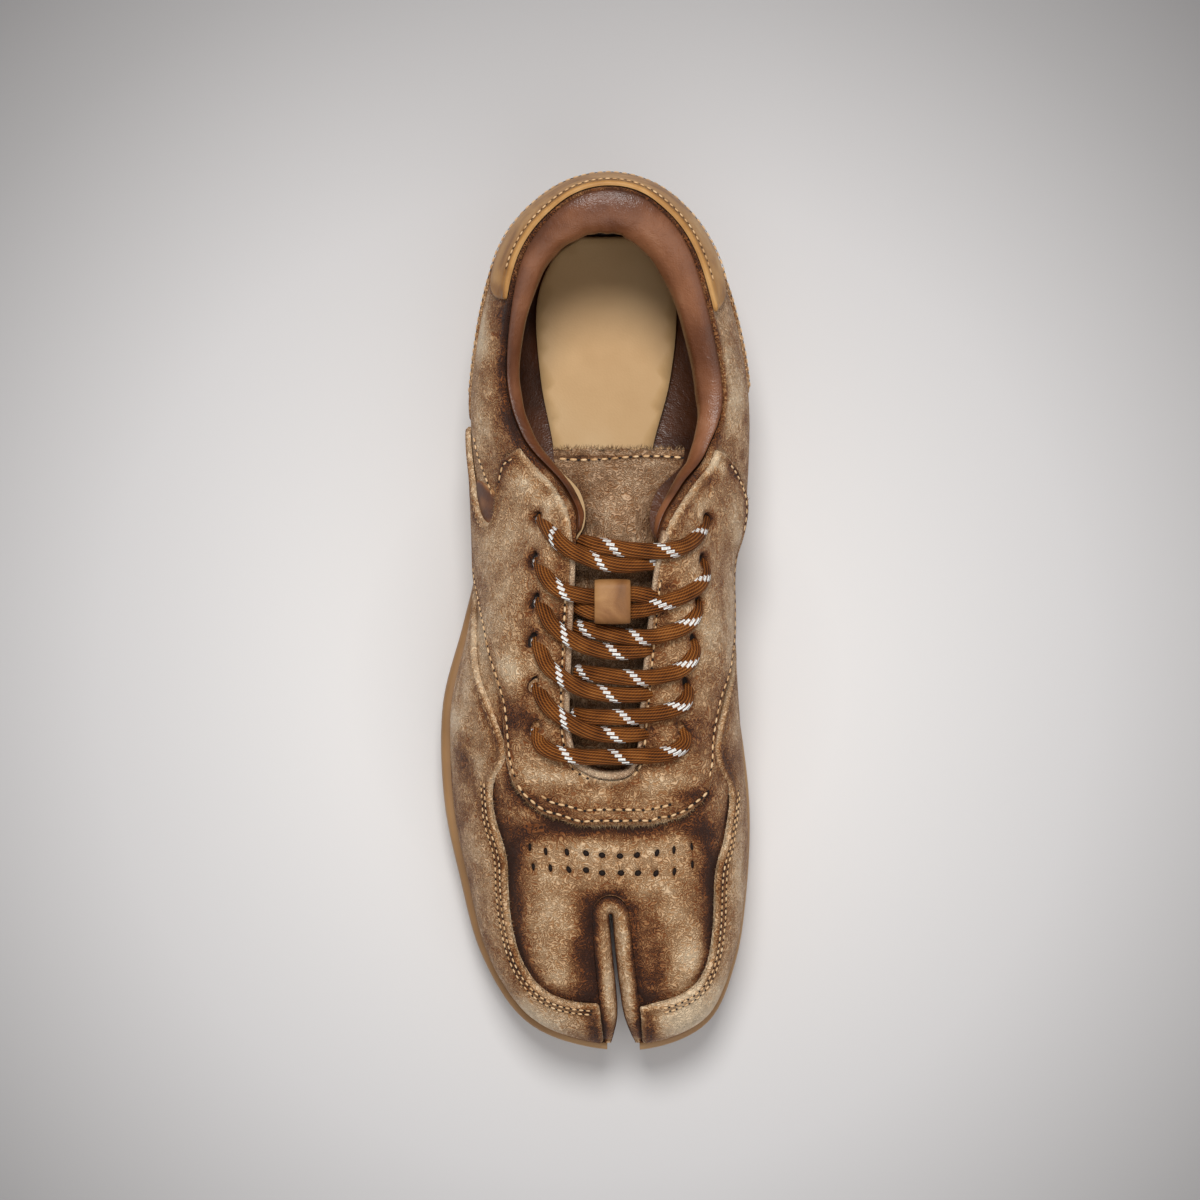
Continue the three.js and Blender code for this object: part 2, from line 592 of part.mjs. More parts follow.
// Tongue: a curved sheet under the throat. y is a share of LENGTH, x and half of BALL_WIDTH, and
// up and drop, which is how far its sides fall, of INSTEP_HEIGHT.
const TONGUE = table(
  ['y', 'x', 'up', 'half', 'drop', 'thick'],
  [-0.192, 0.032, 0.715, 0.16, 0.05, 2],
  [-0.15, 0.033, 0.755, 0.17, 0.07, 2.5],
  [-0.075, 0.04, 0.83, 0.175, 0.09, 3],
  [0, 0.05, 0.9, 0.175, 0.1, 3],
  [0.06, 0.06, 0.945, 0.155, 0.11, 3],
  [0.1, 0.067, 0.985, 0.1, 0.1, 2.6],
  [0.135, 0.07, 1.04, 0.115, 0.05, 2.2],
  [0.162, 0.071, 1.115, 0.185, 0.02, 1.8],
  [0.18, 0.071, 1.18, 0.195, 0.02, 1.8],
);
function onTongue(share, a, under) {
  const half = along(TONGUE, 'half', share) * BALL_WIDTH;
  const drop = along(TONGUE, 'drop', share) * INSTEP_HEIGHT;
  return new THREE.Vector3(
    along(TONGUE, 'x', share) * BALL_WIDTH + a * half,
    along(TONGUE, 'y', share) * LENGTH,
    along(TONGUE, 'up', share) * INSTEP_HEIGHT - drop * a * a - under,
  );
}
function tongue() {
  const grid = (thick) => steps(14).map((share) => steps(6, -1, 1).map((a) => (
    onTongue(share, a, thick ? along(TONGUE, 'thick', share) : 0)
  )));
  return sheet(grid(false), grid(true));
}

// A cord of round section along points, as one closed solid
function cord(points, diameter, sides, count) {
  const shape = new THREE.Shape(steps(sides - 1, 0, 2 * Math.PI * (1 - 1 / sides)).map((angle) => (
    new THREE.Vector2((diameter / 2) * Math.cos(angle), (diameter / 2) * Math.sin(angle))
  )));
  const path = new THREE.CatmullRomCurve3(points);
  return fromGeometry(new THREE.ExtrudeGeometry(shape, { steps: count, bevelEnabled: false, extrudePath: path }));
}
// Each row of the lace is two strands side by side. A strand leaves its eyelet, climbs the eyestay
// to the throat's edge, crosses the throat and stops short of the far edge.
const CROSSING = { sag: 1, dip: 1.2, apart: 0.62, short: 2.5 };
const LACE_SIDES = 6;
function climb(side, row) {
  const lift = CLEARANCE + OVERLAY + LACE / 2;
  const { [`${side}U`]: u, [`${side}V`]: v, [`${side}Edge`]: edge } = EYELETS[row];
  return [
    onSkin(u, v, lift),
    onSkin(u + (edge - u) * 0.35, v + (1 - v) * 0.3, lift + 1.1),
    onSkin(u + (edge - u) * 0.7, v + (1 - v) * 0.65, lift + 1.1),
    onSkin(edge, 1, lift + 0.6),
  ];
}
function laceRow(row) {
  const outer = climb('outer', row);
  const inner = climb('inner', row);
  if (row === EYELETS.length - 1) {
    const points = [...outer.slice(0, 3), outer[3].clone().lerp(inner[3], 0.5), ...inner.slice(0, 3).reverse()];
    return cord(points, LACE, LACE_SIDES, 12);
  }
  const strand = (near, far, toToe, sag) => {
    const edge = near.at(-1);
    const end = far.at(-1).clone();
    end.x += Math.sign(edge.x - end.x) * CROSSING.short;
    end.y -= toToe * EYELETS[row].ahead * CROSSING.apart * LACE;
    end.z -= CROSSING.dip;
    const middle = [0.35, 0.7].map((f) => {
      const p = edge.clone().lerp(end, f);
      return p.setY(p.y - sag * EYELETS[row].ahead).setZ(p.z - CROSSING.dip);
    });
    return cord([...near, ...middle, end], LACE, LACE_SIDES, 10);
  };
  return strand(outer, inner, 1, CROSSING.sag).add(strand(inner, outer, -1, 0));
}

// Lace keeper: a leather loop that stands on the tongue over the second row of laces.
// Its place is a share of the tongue's length.
const KEEPER = { wide: 10.5, long: 12.8, wall: 1.1, tall: 12, place: 0.405 };
function keeper() {
  const { long, wall, tall } = KEEPER;
  const outer = long / 2;
  const foot = onTongue(KEEPER.place, 0, 0);
  const slope = onTongue(KEEPER.place + 0.03, 0, 0).sub(onTongue(KEEPER.place - 0.03, 0, 0));
  const base = (y) => foot.z + (y * slope.z) / slope.y + 2 * CLEARANCE;
  const top = foot.z + tall;
  const profile = [
    [-outer, base(-outer)], [-outer, top - 2.5], [-outer + 2.2, top], [outer - 2.2, top], [outer, top - 2.5],
    [outer, base(outer)], [outer - wall, base(outer - wall)], [outer - wall, top - 2.9],
    [outer - 2.6, top - wall], [-outer + 2.6, top - wall], [-outer + wall, top - 2.9],
    [-outer + wall, base(-outer + wall)],
  ];
  const ring = (x) => profile.map(([y, z]) => new THREE.Vector3(foot.x + x, foot.y + y, z));
  return loft([ring(-KEEPER.wide / 2), ring(KEEPER.wide / 2)]);
}

const shoe = new THREE.Group();
function piece(name, made, color, roughness) {
  const material = new THREE.MeshStandardMaterial({ color, roughness, metalness: 0 });
  const mesh = new THREE.Mesh(toGeometry(made), material);
  mesh.name = name;
  shoe.add(mesh);
}
const SUEDE = '#a07a52';
const DARK_SUEDE = '#7d5532';
const HIDE = '#a87f4c';
piece('sole', sole(), '#8f6d45', 0.6);
piece('insole', insole(), '#c9a577', 0.5);
piece('upper', upper(), SUEDE, 0.7);
piece('toe_lips', toeLips(), SUEDE, 0.7);
const besideSplit = splitCutter((at) => at.seam + CLEARANCE, 0, INSTEP_HEIGHT, SPLIT_ROOT + CLEARANCE);
piece('guard_outer', cover(GUARD_OUTER).subtract(besideSplit), DARK_SUEDE, 0.7);
piece('guard_inner', cover(GUARD_INNER).subtract(besideSplit), DARK_SUEDE, 0.7);
piece('eyestay', cover(EYESTAY, SIDE_PANEL).subtract(HOLES), SUEDE, 0.7);
piece('counter', cover(COUNTER), SUEDE, 0.7);
piece('heel_tab', cover(HEEL_TAB), HIDE, 0.5);
piece('collar', collar(), '#75482f', 0.45);
piece('tongue', tongue(), SUEDE, 0.75);
piece('lace_keeper', keeper(), HIDE, 0.5);
for (let row = 0; row < EYELETS.length; row += 1) piece(`lace_row_${row + 1}`, laceRow(row), '#84501f', 0.8);

// The sole's outline is centred on the origin.
const rim = steps(600, 0, TURN).map(outline);
const middle = new THREE.Box2().setFromPoints(rim).getCenter(new THREE.Vector2());
shoe.position.set(-middle.x, -middle.y, 0);

export default shoe;
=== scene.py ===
"""Looks of the split-toe lace-up sneaker, seen from straight above with its toe towards the viewer."""
import math

import bmesh
import bpy
import numpy as np
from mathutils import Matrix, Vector
from mathutils.geometry import delaunay_2d_cdt
from mathutils.kdtree import KDTree


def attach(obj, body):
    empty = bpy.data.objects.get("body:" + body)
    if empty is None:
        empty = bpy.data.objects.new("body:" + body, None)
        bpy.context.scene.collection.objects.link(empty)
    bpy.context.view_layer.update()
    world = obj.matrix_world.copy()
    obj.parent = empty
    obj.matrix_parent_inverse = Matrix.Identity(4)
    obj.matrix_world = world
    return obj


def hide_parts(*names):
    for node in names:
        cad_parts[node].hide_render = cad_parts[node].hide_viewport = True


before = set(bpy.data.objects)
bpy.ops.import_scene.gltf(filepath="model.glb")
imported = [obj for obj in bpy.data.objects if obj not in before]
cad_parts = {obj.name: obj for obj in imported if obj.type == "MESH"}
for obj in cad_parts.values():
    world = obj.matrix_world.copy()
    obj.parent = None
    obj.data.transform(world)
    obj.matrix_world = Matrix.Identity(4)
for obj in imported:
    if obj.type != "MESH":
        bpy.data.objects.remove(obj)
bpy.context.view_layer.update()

# Camera, lights and floor.
# A long lens looks straight down. A softbox hangs over the heel, a broad weak one over the toe, and a dim
# room fills the rest.
LENS_HEIGHT = 1200.0
PIXEL = 0.315
EYE = np.array([1.4, 5.0])
camera = bpy.data.objects.new("camera", bpy.data.cameras.new("camera"))
bpy.context.scene.collection.objects.link(camera)
camera.data.lens = 114.3
camera.data.sensor_width = 36
camera.location = (EYE[0] / 1000, EYE[1] / 1000, LENS_HEIGHT / 1000)
bpy.context.scene.camera = camera
bpy.context.scene.view_settings.view_transform = "Standard"


def linear(code):
    """An sRGB hex colour as linear RGBA."""
    parts = [int(code[i:i + 2], 16) / 255 for i in (1, 3, 5)]
    return [c / 12.92 if c <= 0.04045 else ((c + 0.055) / 1.055) ** 2.4 for c in parts] + [1.0]


def add(tree, kind, inputs=None, **settings):
    """Adds a node with its settings, and its inputs as values or links."""
    made = tree.nodes.new(kind)
    for key, value in settings.items():
        setattr(made, key, value)
    for key, value in (inputs or {}).items():
        if isinstance(value, bpy.types.NodeSocket):
            tree.links.new(value, made.inputs[key])
        else:
            made.inputs[key].default_value = value
    return made


def material(name, roughness, **constants):
    """A new material: its tree and its shader."""
    made = bpy.data.materials.new(name)
    made.use_nodes = True
    shader = made.node_tree.nodes["Principled BSDF"]
    shader.inputs["Roughness"].default_value = roughness
    for key, value in constants.items():
        shader.inputs[key.replace("_", " ")].default_value = value
    return made, made.node_tree, shader


def ramp(tree, factor, *stops):
    """A colour ramp over pairs of place and hex colour."""
    made = add(tree, "ShaderNodeValToRGB", {"Fac": factor})
    while len(made.color_ramp.elements) < len(stops):
        made.color_ramp.elements.new(0.5)
    for element, (place, code) in zip(made.color_ramp.elements, stops):
        element.position = place
        element.color = linear(code)
    return made.outputs["Color"]


def light(name, size, power, place, tint):
    lamp = bpy.data.objects.new(name, bpy.data.lights.new(name, "AREA"))
    bpy.context.scene.collection.objects.link(lamp)
    lamp.data.shape = "DISK"
    lamp.data.size = size
    lamp.data.energy = power
    lamp.data.color = tint
    lamp.location = place
    lamp.rotation_euler = (-Vector(place)).to_track_quat("-Z", "Y").to_euler()


light("softbox", 0.5, 15, (-0.04, 0.6, 1.4), (1.0, 0.99, 0.975))
light("toe_fill", 1.4, 4.6, (0.3, -0.8, 1.1), (1.0, 0.99, 0.975))
world = bpy.data.worlds.new("room")
bpy.context.scene.world = world
world.use_nodes = True
world.node_tree.nodes["Background"].inputs["Color"].default_value = linear("#f2f3f5")
world.node_tree.nodes["Background"].inputs["Strength"].default_value = 0.4

# Matt paper sweep with painted light falloff: its colour is brightest round the shoe and darker towards the
# corners of the picture.
paper, tree, shader = material("paper_sweep", 0.9)
place = add(tree, "ShaderNodeTexCoord").outputs["Object"]
nearer = add(tree, "ShaderNodeVectorMath", {0: place, 1: (0.0, 0.02, 0.0)}, operation="ADD").outputs["Vector"]
length = add(tree, "ShaderNodeVectorMath", {0: nearer}, operation="LENGTH").outputs["Value"]
share = add(tree, "ShaderNodeMath", {0: length, 1: 3.2}, operation="MULTIPLY").outputs["Value"]
tree.links.new(ramp(tree, share, (0.25, "#e4e2e1"), (0.5, "#cecccc"), (0.78, "#a09e9e"), (0.98, "#7a7878")),
               shader.inputs["Base Color"])
floor_mesh = bpy.data.meshes.new("floor")
floor_mesh.from_pydata([(-3, -3, 0), (3, -3, 0), (3, 3, 0), (-3, 3, 0)], [], [(0, 1, 2, 3)])
floor = bpy.data.objects.new("floor", floor_mesh)
bpy.context.scene.collection.objects.link(floor)
floor_mesh.materials.append(paper)

# Sole: one smooth gum-rubber cup, moulded with a rounded rim and split at the toe.
# The foot, last and sole share one table of sections: sole edge, ledge, top line, bulge and shoulder.
LENGTH, WIDTH = 268.0, 97.0
SHIFT = np.array([-0.049, 0.295, 0.0])
SECTIONS = np.array([
    (0.041, 0.5, 0.02, 0.039, 0.47, 82.0, 0.022, 0.33, 0.5, 0.68),
    (-0.16, 0.472, 0.02, -0.107, 0.451, 80.9, 0.035, 0.33, 0.7, 0.68),
    (-0.304, 0.396, 0.018, -0.236, 0.391, 74.5, 0.055, 0.35, 1.15, 0.7),
    (-0.361, 0.261, 0.016, -0.286, 0.278, 66.5, 0.075, 0.35, 1.7, 0.75),
    (-0.369, 0.142, 0.018, -0.238, 0.198, 70.0, 0.06, 0.36, 1.0, 0.74),
    (-0.379, 0.06, 0.025, -0.104, 0.14, 80.1, 0.055, 0.38, 0.75, 0.8),
    (-0.423, -0.011, 0.045, -0.06, 0.093, 88.0, 0.03, 0.42, 0.6, 0.93),
    (-0.488, -0.104, 0.05, -0.067, -0.007, 81.5, 0.012, 0.45, 0.56, 0.94),
    (-0.485, -0.211, 0.05, -0.078, -0.104, 73.8, 0.01, 0.48, 0.55, 0.94),
    (-0.433, -0.306, 0.046, -0.058, -0.151, 70.0, 0.01, 0.48, 0.58, 0.84),
    (-0.366, -0.392, 0.042, -0.023, -0.164, 68.6, 0.01, 0.5, 0.6, 0.74),
    (-0.237, -0.4646, 0.042, 0.008, -0.169, 68.0, 0.01, 0.5, 0.62, 0.66),
    (-0.052, -0.496, 0.04, 0.036, -0.171, 68.0, 0.008, 0.5, 0.62, 0.64),
    (0.175, -0.5, 0.04, 0.065, -0.171, 68.0, 0.008, 0.5, 0.62, 0.64),
    (0.361, -0.47, 0.038, 0.093, -0.168, 68.0, 0.012, 0.5, 0.62, 0.68),
    (0.448, -0.403, 0.032, 0.115, -0.16, 68.6, 0.018, 0.52, 0.64, 0.76),
    (0.4845, -0.321, 0.03, 0.13, -0.146, 70.4, 0.018, 0.52, 0.66, 0.86),
    (0.494, -0.224, 0.03, 0.138, -0.097, 74.6, 0.018, 0.5, 0.62, 0.93),
    (0.464, -0.127, 0.03, 0.158, -0.015, 80.8, 0.034, 0.48, 0.64, 0.94),
    (0.412, -0.03, 0.02, 0.196, 0.086, 88.0, 0.098, 0.42, 0.72, 0.92),
    (0.397, 0.056, 0.016, 0.276, 0.14, 80.5, 0.105, 0.38, 0.95, 0.8),
    (0.4155, 0.142, 0.016, 0.355, 0.181, 70.4, 0.155, 0.36, 1.85, 0.74),
    (0.433, 0.261, 0.016, 0.402, 0.254, 66.0, 0.12, 0.35, 2.4, 0.75),
    (0.376, 0.396, 0.018, 0.312, 0.392, 74.8, 0.052, 0.35, 1.15, 0.7),
    (0.237, 0.472, 0.02, 0.183, 0.453, 80.9, 0.035, 0.33, 0.7, 0.68),
])
SECTIONS[:, [0, 2, 3, 6]] *= WIDTH
SECTIONS[:, [1, 4]] *= LENGTH
TURN = len(SECTIONS)
SOLE_THICKNESS = 28 * np.array([0.6, 0.62, 0.7, 0.78, 0.88, 0.96, 1.0])


def spline(rows, at, closed):
    """Smooth values through the rows of a table, at places counted in rows."""
    at = np.asarray(at, float)
    if closed:
        i = np.floor(at).astype(int)
        a, b, c, d = (rows[(i + k) % len(rows)] for k in (-1, 0, 1, 2))
    else:
        i = np.clip(np.floor(at).astype(int), 0, len(rows) - 2)
        a, b, c, d = (rows[np.clip(i + k, 0, len(rows) - 1)] for k in (-1, 0, 1, 2))
    f = at - i
    if rows.ndim > 1:
        f = f[..., None]
    return 0.5 * (2 * b + (c - a) * f + (2 * a - 5 * b + 4 * c - d) * f**2 + (3 * b - a - 3 * c + d) * f**3)


def share_of(rows, share):
    return spline(rows, np.clip(share, 0, 1) * (len(rows) - 1), False)


def toe_lift(y):
    return 7 * (np.maximum(-0.3 - y / LENGTH, 0) / 0.2) ** 2


def sole_top(y):
    return toe_lift(y) + share_of(SOLE_THICKNESS, y / LENGTH + 0.5)


def sole_bottom(y):
    t = y / LENGTH
    arch = 3 * np.sin(math.pi * np.clip((t + 0.08) / 0.26, 0, 1)) ** 2
    return toe_lift(y) + arch + 2 * (np.maximum(t - 0.46, 0) / 0.04) ** 2


def sole_edge(u, inset=0.0):
    """Sole outline in plan, moved inwards, and its outward normal."""
    step = spline(SECTIONS[:, :2], u + 0.02, True) - spline(SECTIONS[:, :2], u - 0.02, True)
    out = np.stack([step[..., 1], -step[..., 0]], -1)
    out /= np.linalg.norm(out, axis=-1, keepdims=True)
    return spline(SECTIONS[:, :2], u, True) - out * np.asarray(inset)[..., None], out


def shaped(name, points, faces, finish, slot_name, replaced=(), sharp=None, **attributes):
    """A mesh object from points in mm, riding on the shoe."""
    mesh = bpy.data.meshes.new(name)
    mesh.from_pydata(((np.asarray(points) + SHIFT) / 1000).tolist(), [], [list(map(int, f)) for f in faces])
    mesh.validate()
    for key, values in attributes.items():
        mesh.attributes.new(key, "FLOAT", "POINT").data.foreach_set("value", np.asarray(values, np.float32))
    mesh.shade_smooth()
    if sharp:
        mesh.set_sharp_from_angle(angle=math.radians(sharp))
    made = bpy.data.objects.new(name, mesh)
    bpy.context.scene.collection.objects.link(made)
    mesh.materials.append(finish)
    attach(made, "root")
    if replaced:
        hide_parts(*replaced)
    return made


def outward_faces(made):
    """Turns the faces of a closed mesh outwards."""
    work = bmesh.new()
    work.from_mesh(made.data)
    bmesh.ops.recalc_face_normals(work, faces=work.faces)
    work.to_mesh(made.data)
    work.free()


def band(first, second, count, closed=True):
    """Quads between two rows of points, given the number of each row's first point."""
    last = count if closed else count - 1
    return [(first + j, first + (j + 1) % count, second + (j + 1) % count, second + j) for j in range(last)]


def sheet(rows, columns, turned=False):
    """Quads of a grid of points, numbered row by row."""
    quads = [(i * columns + j, (i + 1) * columns + j, (i + 1) * columns + j + 1, i * columns + j + 1)
             for i in range(rows - 1) for j in range(columns - 1)]
    return [(a, d, c, b) for a, b, c, d in quads] if turned else quads


def inside(points, loop):
    """Which points lie inside a closed loop."""
    x, y = points[:, 0, None], points[:, 1, None]
    ax, ay = loop.T
    bx, by = np.roll(loop, -1, 0).T
    rises = (ay > y) != (by > y)
    return (rises & (x < (bx - ax) * (y - ay) / (by - ay + 1e-12) + ax)).sum(1) % 2 == 1


def filling(loop, gap, extra=(), holes=()):
    """Triangles that fill a loop: points, faces, and the numbers of the loop's and holes' points."""
    low, high = loop.min(0), loop.max(0)
    x, y = np.meshgrid(np.arange(low[0], high[0], gap), np.arange(low[1], high[1], gap * 0.87))
    x = x + gap / 2 * (np.arange(x.shape[0]) % 2)[:, None]
    grid = np.stack([x.ravel(), y.ravel()], -1)
    inner = np.vstack([*extra, grid]) if len(extra) else grid
    inner = inner[inside(inner, loop)]
    tree = KDTree(len(loop) + sum(map(len, holes)))
    for i, p in enumerate(np.vstack([loop, *holes])):
        tree.insert((p[0], p[1], 0), i)
    tree.balance()
    spared = gap * 0.45
    near = [tree.find((p[0], p[1], 0))[2] > (spared if i >= sum(map(len, extra)) else 0.25)
            for i, p in enumerate(inner)]
    inner = inner[np.array(near, bool)]
    for hole in holes:
        inner = inner[~inside(inner, hole)]
    rings, start = [], 0
    for ring in (loop, *holes):
        rings.append(np.arange(start, start + len(ring)))
        start += len(ring)
    edges = [(int(a), int(b)) for ring in rings for a, b in zip(ring, np.roll(ring, -1))]
    given = [Vector((float(p[0]), float(p[1]))) for p in np.vstack([loop, *holes, inner])]
    points, _, faces, origin, _, _ = delaunay_2d_cdt(given, edges, [], 1, 1e-6)
    points = np.array([(p.x, p.y) for p in points])
    found = {}
    for i, sources in enumerate(origin):
        for s in sources:
            found[s] = i
    rings = [[found[int(i)] for i in ring] for ring in rings]
    faces = np.array([f for f in faces if len(f) == 3])
    middle = points[faces].mean(1)
    keep = inside(middle, loop)
    for hole in holes:
        keep &= ~inside(middle, hole)
    return points, faces[keep], rings


def cut(made, cutters, sharp=35):
    """Cuts closed meshes out of a piece for good."""
    for cutter in cutters:
        taken = made.modifiers.new("cut", "BOOLEAN")
        taken.operation = "DIFFERENCE"
        taken.solver = "EXACT"
        taken.object = cutter
        done = bpy.data.meshes.new_from_object(made.evaluated_get(bpy.context.evaluated_depsgraph_get()))
        made.modifiers.clear()
        made.data = done
    for cutter in cutters:
        bpy.data.objects.remove(cutter)
    made.data.shade_smooth()
    made.data.set_sharp_from_angle(angle=math.radians(sharp))


def cutter_from(points, faces):
    mesh = bpy.data.meshes.new("cutter")
    mesh.from_pydata(((np.asarray(points) + SHIFT) / 1000).tolist(), [], [list(map(int, f)) for f in faces])
    made = bpy.data.objects.new("cutter", mesh)
    bpy.context.scene.collection.objects.link(made)
    outward_faces(made)
    return made


def upright(loop, low, high):
    """A closed upright prism on a loop in plan."""
    n = len(loop)
    points = np.vstack([np.c_[loop, np.full(n, low)], np.c_[loop, np.full(n, high)]])
    return cutter_from(points, [*band(0, n, n), tuple(range(n)), tuple(range(n, 2 * n))])


SPLIT = np.array([
    (-0.338, 0.048, 0.02, 0.009, 0.058),
    (-0.38, 0.058, 0.035, 0.009, 0.062),
    (-0.42, 0.07, 0.05, 0.01, 0.063),
    (-0.455, 0.08, 0.07, 0.02, 0.063),
    (-0.48, 0.086, 0.09, 0.055, 0.062),
    (-0.495, 0.09, 0.104, 0.085, 0.062),
]) * np.array([LENGTH, WIDTH, WIDTH / 2, WIDTH / 2, WIDTH])
SPLIT_ROOT = 6.5


def split_loop(half, root):
    """The split in plan, as a U open past the toe. half is the column of its half width, or that width."""
    at = share_of(SPLIT, np.linspace(0, 1, 24))
    wide = at[:, half] if isinstance(half, int) else np.full(len(at), half)
    turn = np.linspace(math.pi, 0, 12)[1:-1]
    bend = np.c_[at[0, 1] + wide[0] * np.cos(turn), at[0, 0] + root * np.sin(turn)]
    left, right = np.c_[at[:, 1] - wide, at[:, 0]], np.c_[at[:, 1] + wide, at[:, 0]]
    return np.vstack([left[-1] - (0, 20), left[::-1], bend, right, right[-1] - (0, 20)])


# Warm gum rubber: even, a little cloudy, with a soft sheen and faint moulding marks.
gum, tree, shader = material("gum_rubber", 0.46)
place = add(tree, "ShaderNodeTexCoord").outputs["Object"]
cloud = add(tree, "ShaderNodeTexNoise", {"Vector": place, "Scale": 26, "Detail": 4}).outputs["Fac"]
grain = add(tree, "ShaderNodeTexNoise", {"Vector": place, "Scale": 1300, "Detail": 3}).outputs["Fac"]
tree.links.new(ramp(tree, cloud, (0.3, "#8d673f"), (0.55, "#a67d51"), (0.8, "#b68e5e")),
               shader.inputs["Base Color"])
tree.links.new(add(tree, "ShaderNodeBump", {"Height": grain, "Strength": 0.15,
                                            "Distance": 0.0002}).outputs[0],
               shader.inputs["Normal"])

RIM = np.linspace(0, TURN, 241)[:-1]
rows = []
for inset, up, drop in ((3, 0, None), (1.9, 0.7, None), (0.9, 2, None), (0.9, 5.4, None), (0.35, 5.9, None),
                        (0, 6.6, None), (0, 14, None), (0, None, 2.6), (0.15, None, 1.4), (0.6, None, 0.6),
                        (1.2, None, 0.15), (1.9, None, 0), (9, None, 0), (9.1, None, 4.2)):
    edge = sole_edge(RIM, inset)[0]
    height = sole_bottom(edge[:, 1]) + up if drop is None else sole_top(edge[:, 1]) - drop
    rows.append(np.c_[edge, np.minimum(height, sole_top(edge[:, 1]))])
count = len(RIM)
faces = [f for i in range(len(rows) - 1) for f in band(i * count, (i + 1) * count, count)]
points = list(np.vstack(rows))
for base, height in ((0, sole_bottom), ((len(rows) - 1) * count, lambda y: sole_top(y) - 4.2)):
    flat, cap, rings = filling(np.array(points[base:base + count])[:, :2], 5)
    numbers = np.full(len(flat), -1)
    numbers[rings[0]] = np.arange(base, base + count)
    for i in np.where(numbers < 0)[0]:
        numbers[i] = len(points)
        points.append(np.array([*flat[i], height(flat[i, 1])]))
    faces += [tuple(numbers[f]) for f in cap]
sole = shaped("sole_cup", points, faces, gum, "gum_rubber", ["sole"])
outward_faces(sole)
cutters = [upright(split_loop(2, 1.2), -5, 60)]
for y in [*np.linspace(-0.4, -0.12, 6) * LENGTH, *np.linspace(0.22, 0.43, 4) * LENGTH]:
    box = np.array([(x, y + s, sole_bottom(y) + z) for z in (-8, 1.8) for x, s in ((-97, -2), (97, -2),
            (97, 2), (-97, 2))])
    cutters.append(cutter_from(box, [(0, 1, 2, 3), (4, 5, 6, 7), *band(0, 4, 4)]))
cut(sole, cutters)

# Insole: a thin leather-faced footbed, die cut and glued into the cup. It is left plain.
# It lies flat, with a softly rounded edge, and shows through the opening at the heel.
insole_leather, tree, shader = material("insole_leather", 0.55)
place = add(tree, "ShaderNodeTexCoord").outputs["Object"]
cloud = add(tree, "ShaderNodeTexNoise", {"Vector": place, "Scale": 30, "Detail": 5}).outputs["Fac"]
grain = add(tree, "ShaderNodeTexVoronoi", {"Vector": place, "Scale": 1500}).outputs["Distance"]
tree.links.new(ramp(tree, cloud, (0.3, "#d2a670"), (0.55, "#e0b680"), (0.8, "#e8c28f")),
               shader.inputs["Base Color"])
tree.links.new(add(tree, "ShaderNodeBump", {"Height": grain, "Strength": 0.12,
                                            "Distance": 0.0002}).outputs[0],
               shader.inputs["Normal"])
INSOLE = np.array([
    (0.435, 0.037, 0.08), (0.41, 0.036, 0.17), (0.355, 0.035, 0.222), (0.27, 0.032, 0.205), (0.185, 0.024,
            0.155),
    (0.1, 0.02, 0.15), (0, 0.01, 0.21), (-0.1, 0.005, 0.32), (-0.2, 0.012, 0.36), (-0.3, 0.03, 0.345),
    (-0.38, 0.055, 0.29), (-0.425, 0.075, 0.2), (-0.445, 0.085, 0.11),
]) * np.array([LENGTH, WIDTH, WIDTH])
at = share_of(INSOLE, np.linspace(0, 1, 90))
notch = split_loop(4, SPLIT_ROOT + 0.3)
notch = notch[(notch[:, 1] > at[-1, 0] + 1)][::-1]
loop = np.vstack([np.c_[at[:, 1] + at[:, 2], at[:, 0]], notch, np.c_[at[:, 1] - at[:, 2], at[:, 0]][::-1]])
flat, cap, rings = filling(loop, 4)
z = sole_top(flat[:, 1])
points = np.vstack([np.c_[flat, z - 0.7], np.c_[flat, z - 3.7]])
ring = rings[0]
shrunk = points[ring] + np.array([0, 0, -0.5])
points[ring, :2] += (points[:len(flat), :2].mean(0) - points[ring, :2]) * 0.008
start = len(points)
points = np.vstack([points, shrunk])
n = len(ring)
faces = [tuple(f) for f in cap] + [tuple(f[::-1] + len(flat)) for f in cap]
faces += [(ring[j], start + j, start + (j + 1) % n, ring[(j + 1) % n]) for j in range(n)]
faces += [(start + j, ring[j] + len(flat), ring[(j + 1) % n] + len(flat), start + (j + 1) % n)
          for j in range(n)]
insole = shaped("footbed", points, faces, insole_leather, "insole_leather", ["insole"])
outward_faces(insole)

# Lining: smooth brown leather glued inside the upper, which shows between the insole and the collar.
# It follows the inside of the last from the sole to the top line.
CREASES = np.array([
    (550, 880, 560, 985, 0.9, 9), (682, 890, 690, 975, 0.9, 8), (586, 890, 586, 985, -0.6, 3.5),
    (652, 905, 660, 985, -0.6, 3.5), (540, 835, 690, 838, -0.5, 3), (458, 712, 470, 748, 0.9, 3.4),
    (470, 765, 480, 800, -0.8, 3.5), (482, 838, 490, 885, 0.5, 4), (512, 652, 520, 690, 0.8, 5),
    (708, 620, 724, 672, 0.7, 5), (506, 702, 520, 745, -0.7, 4), (692, 702, 706, 742, -0.7, 4),
    (520, 478, 560, 508, 0.9, 5), (706, 470, 716, 530, 0.7, 5), (480, 318, 478, 382, 0.7, 5),
    (504, 300, 514, 432, -0.8, 4), (729, 350, 736, 422, 0.7, 5), (716, 300, 728, 440, -0.6, 3),
    (570, 775, 650, 778, 0.5, 4), (540, 600, 545, 720, -0.3, 4), (495, 545, 500, 610, 0.6, 4),
    (728, 540, 726, 600, 0.5, 4), (730, 850, 735, 940, 0.5, 4), (560, 1020, 500, 960, 0.5, 4),
    (700, 1005, 660, 1028, 0.5, 4), (480, 430, 492, 470, -0.5, 3),
])


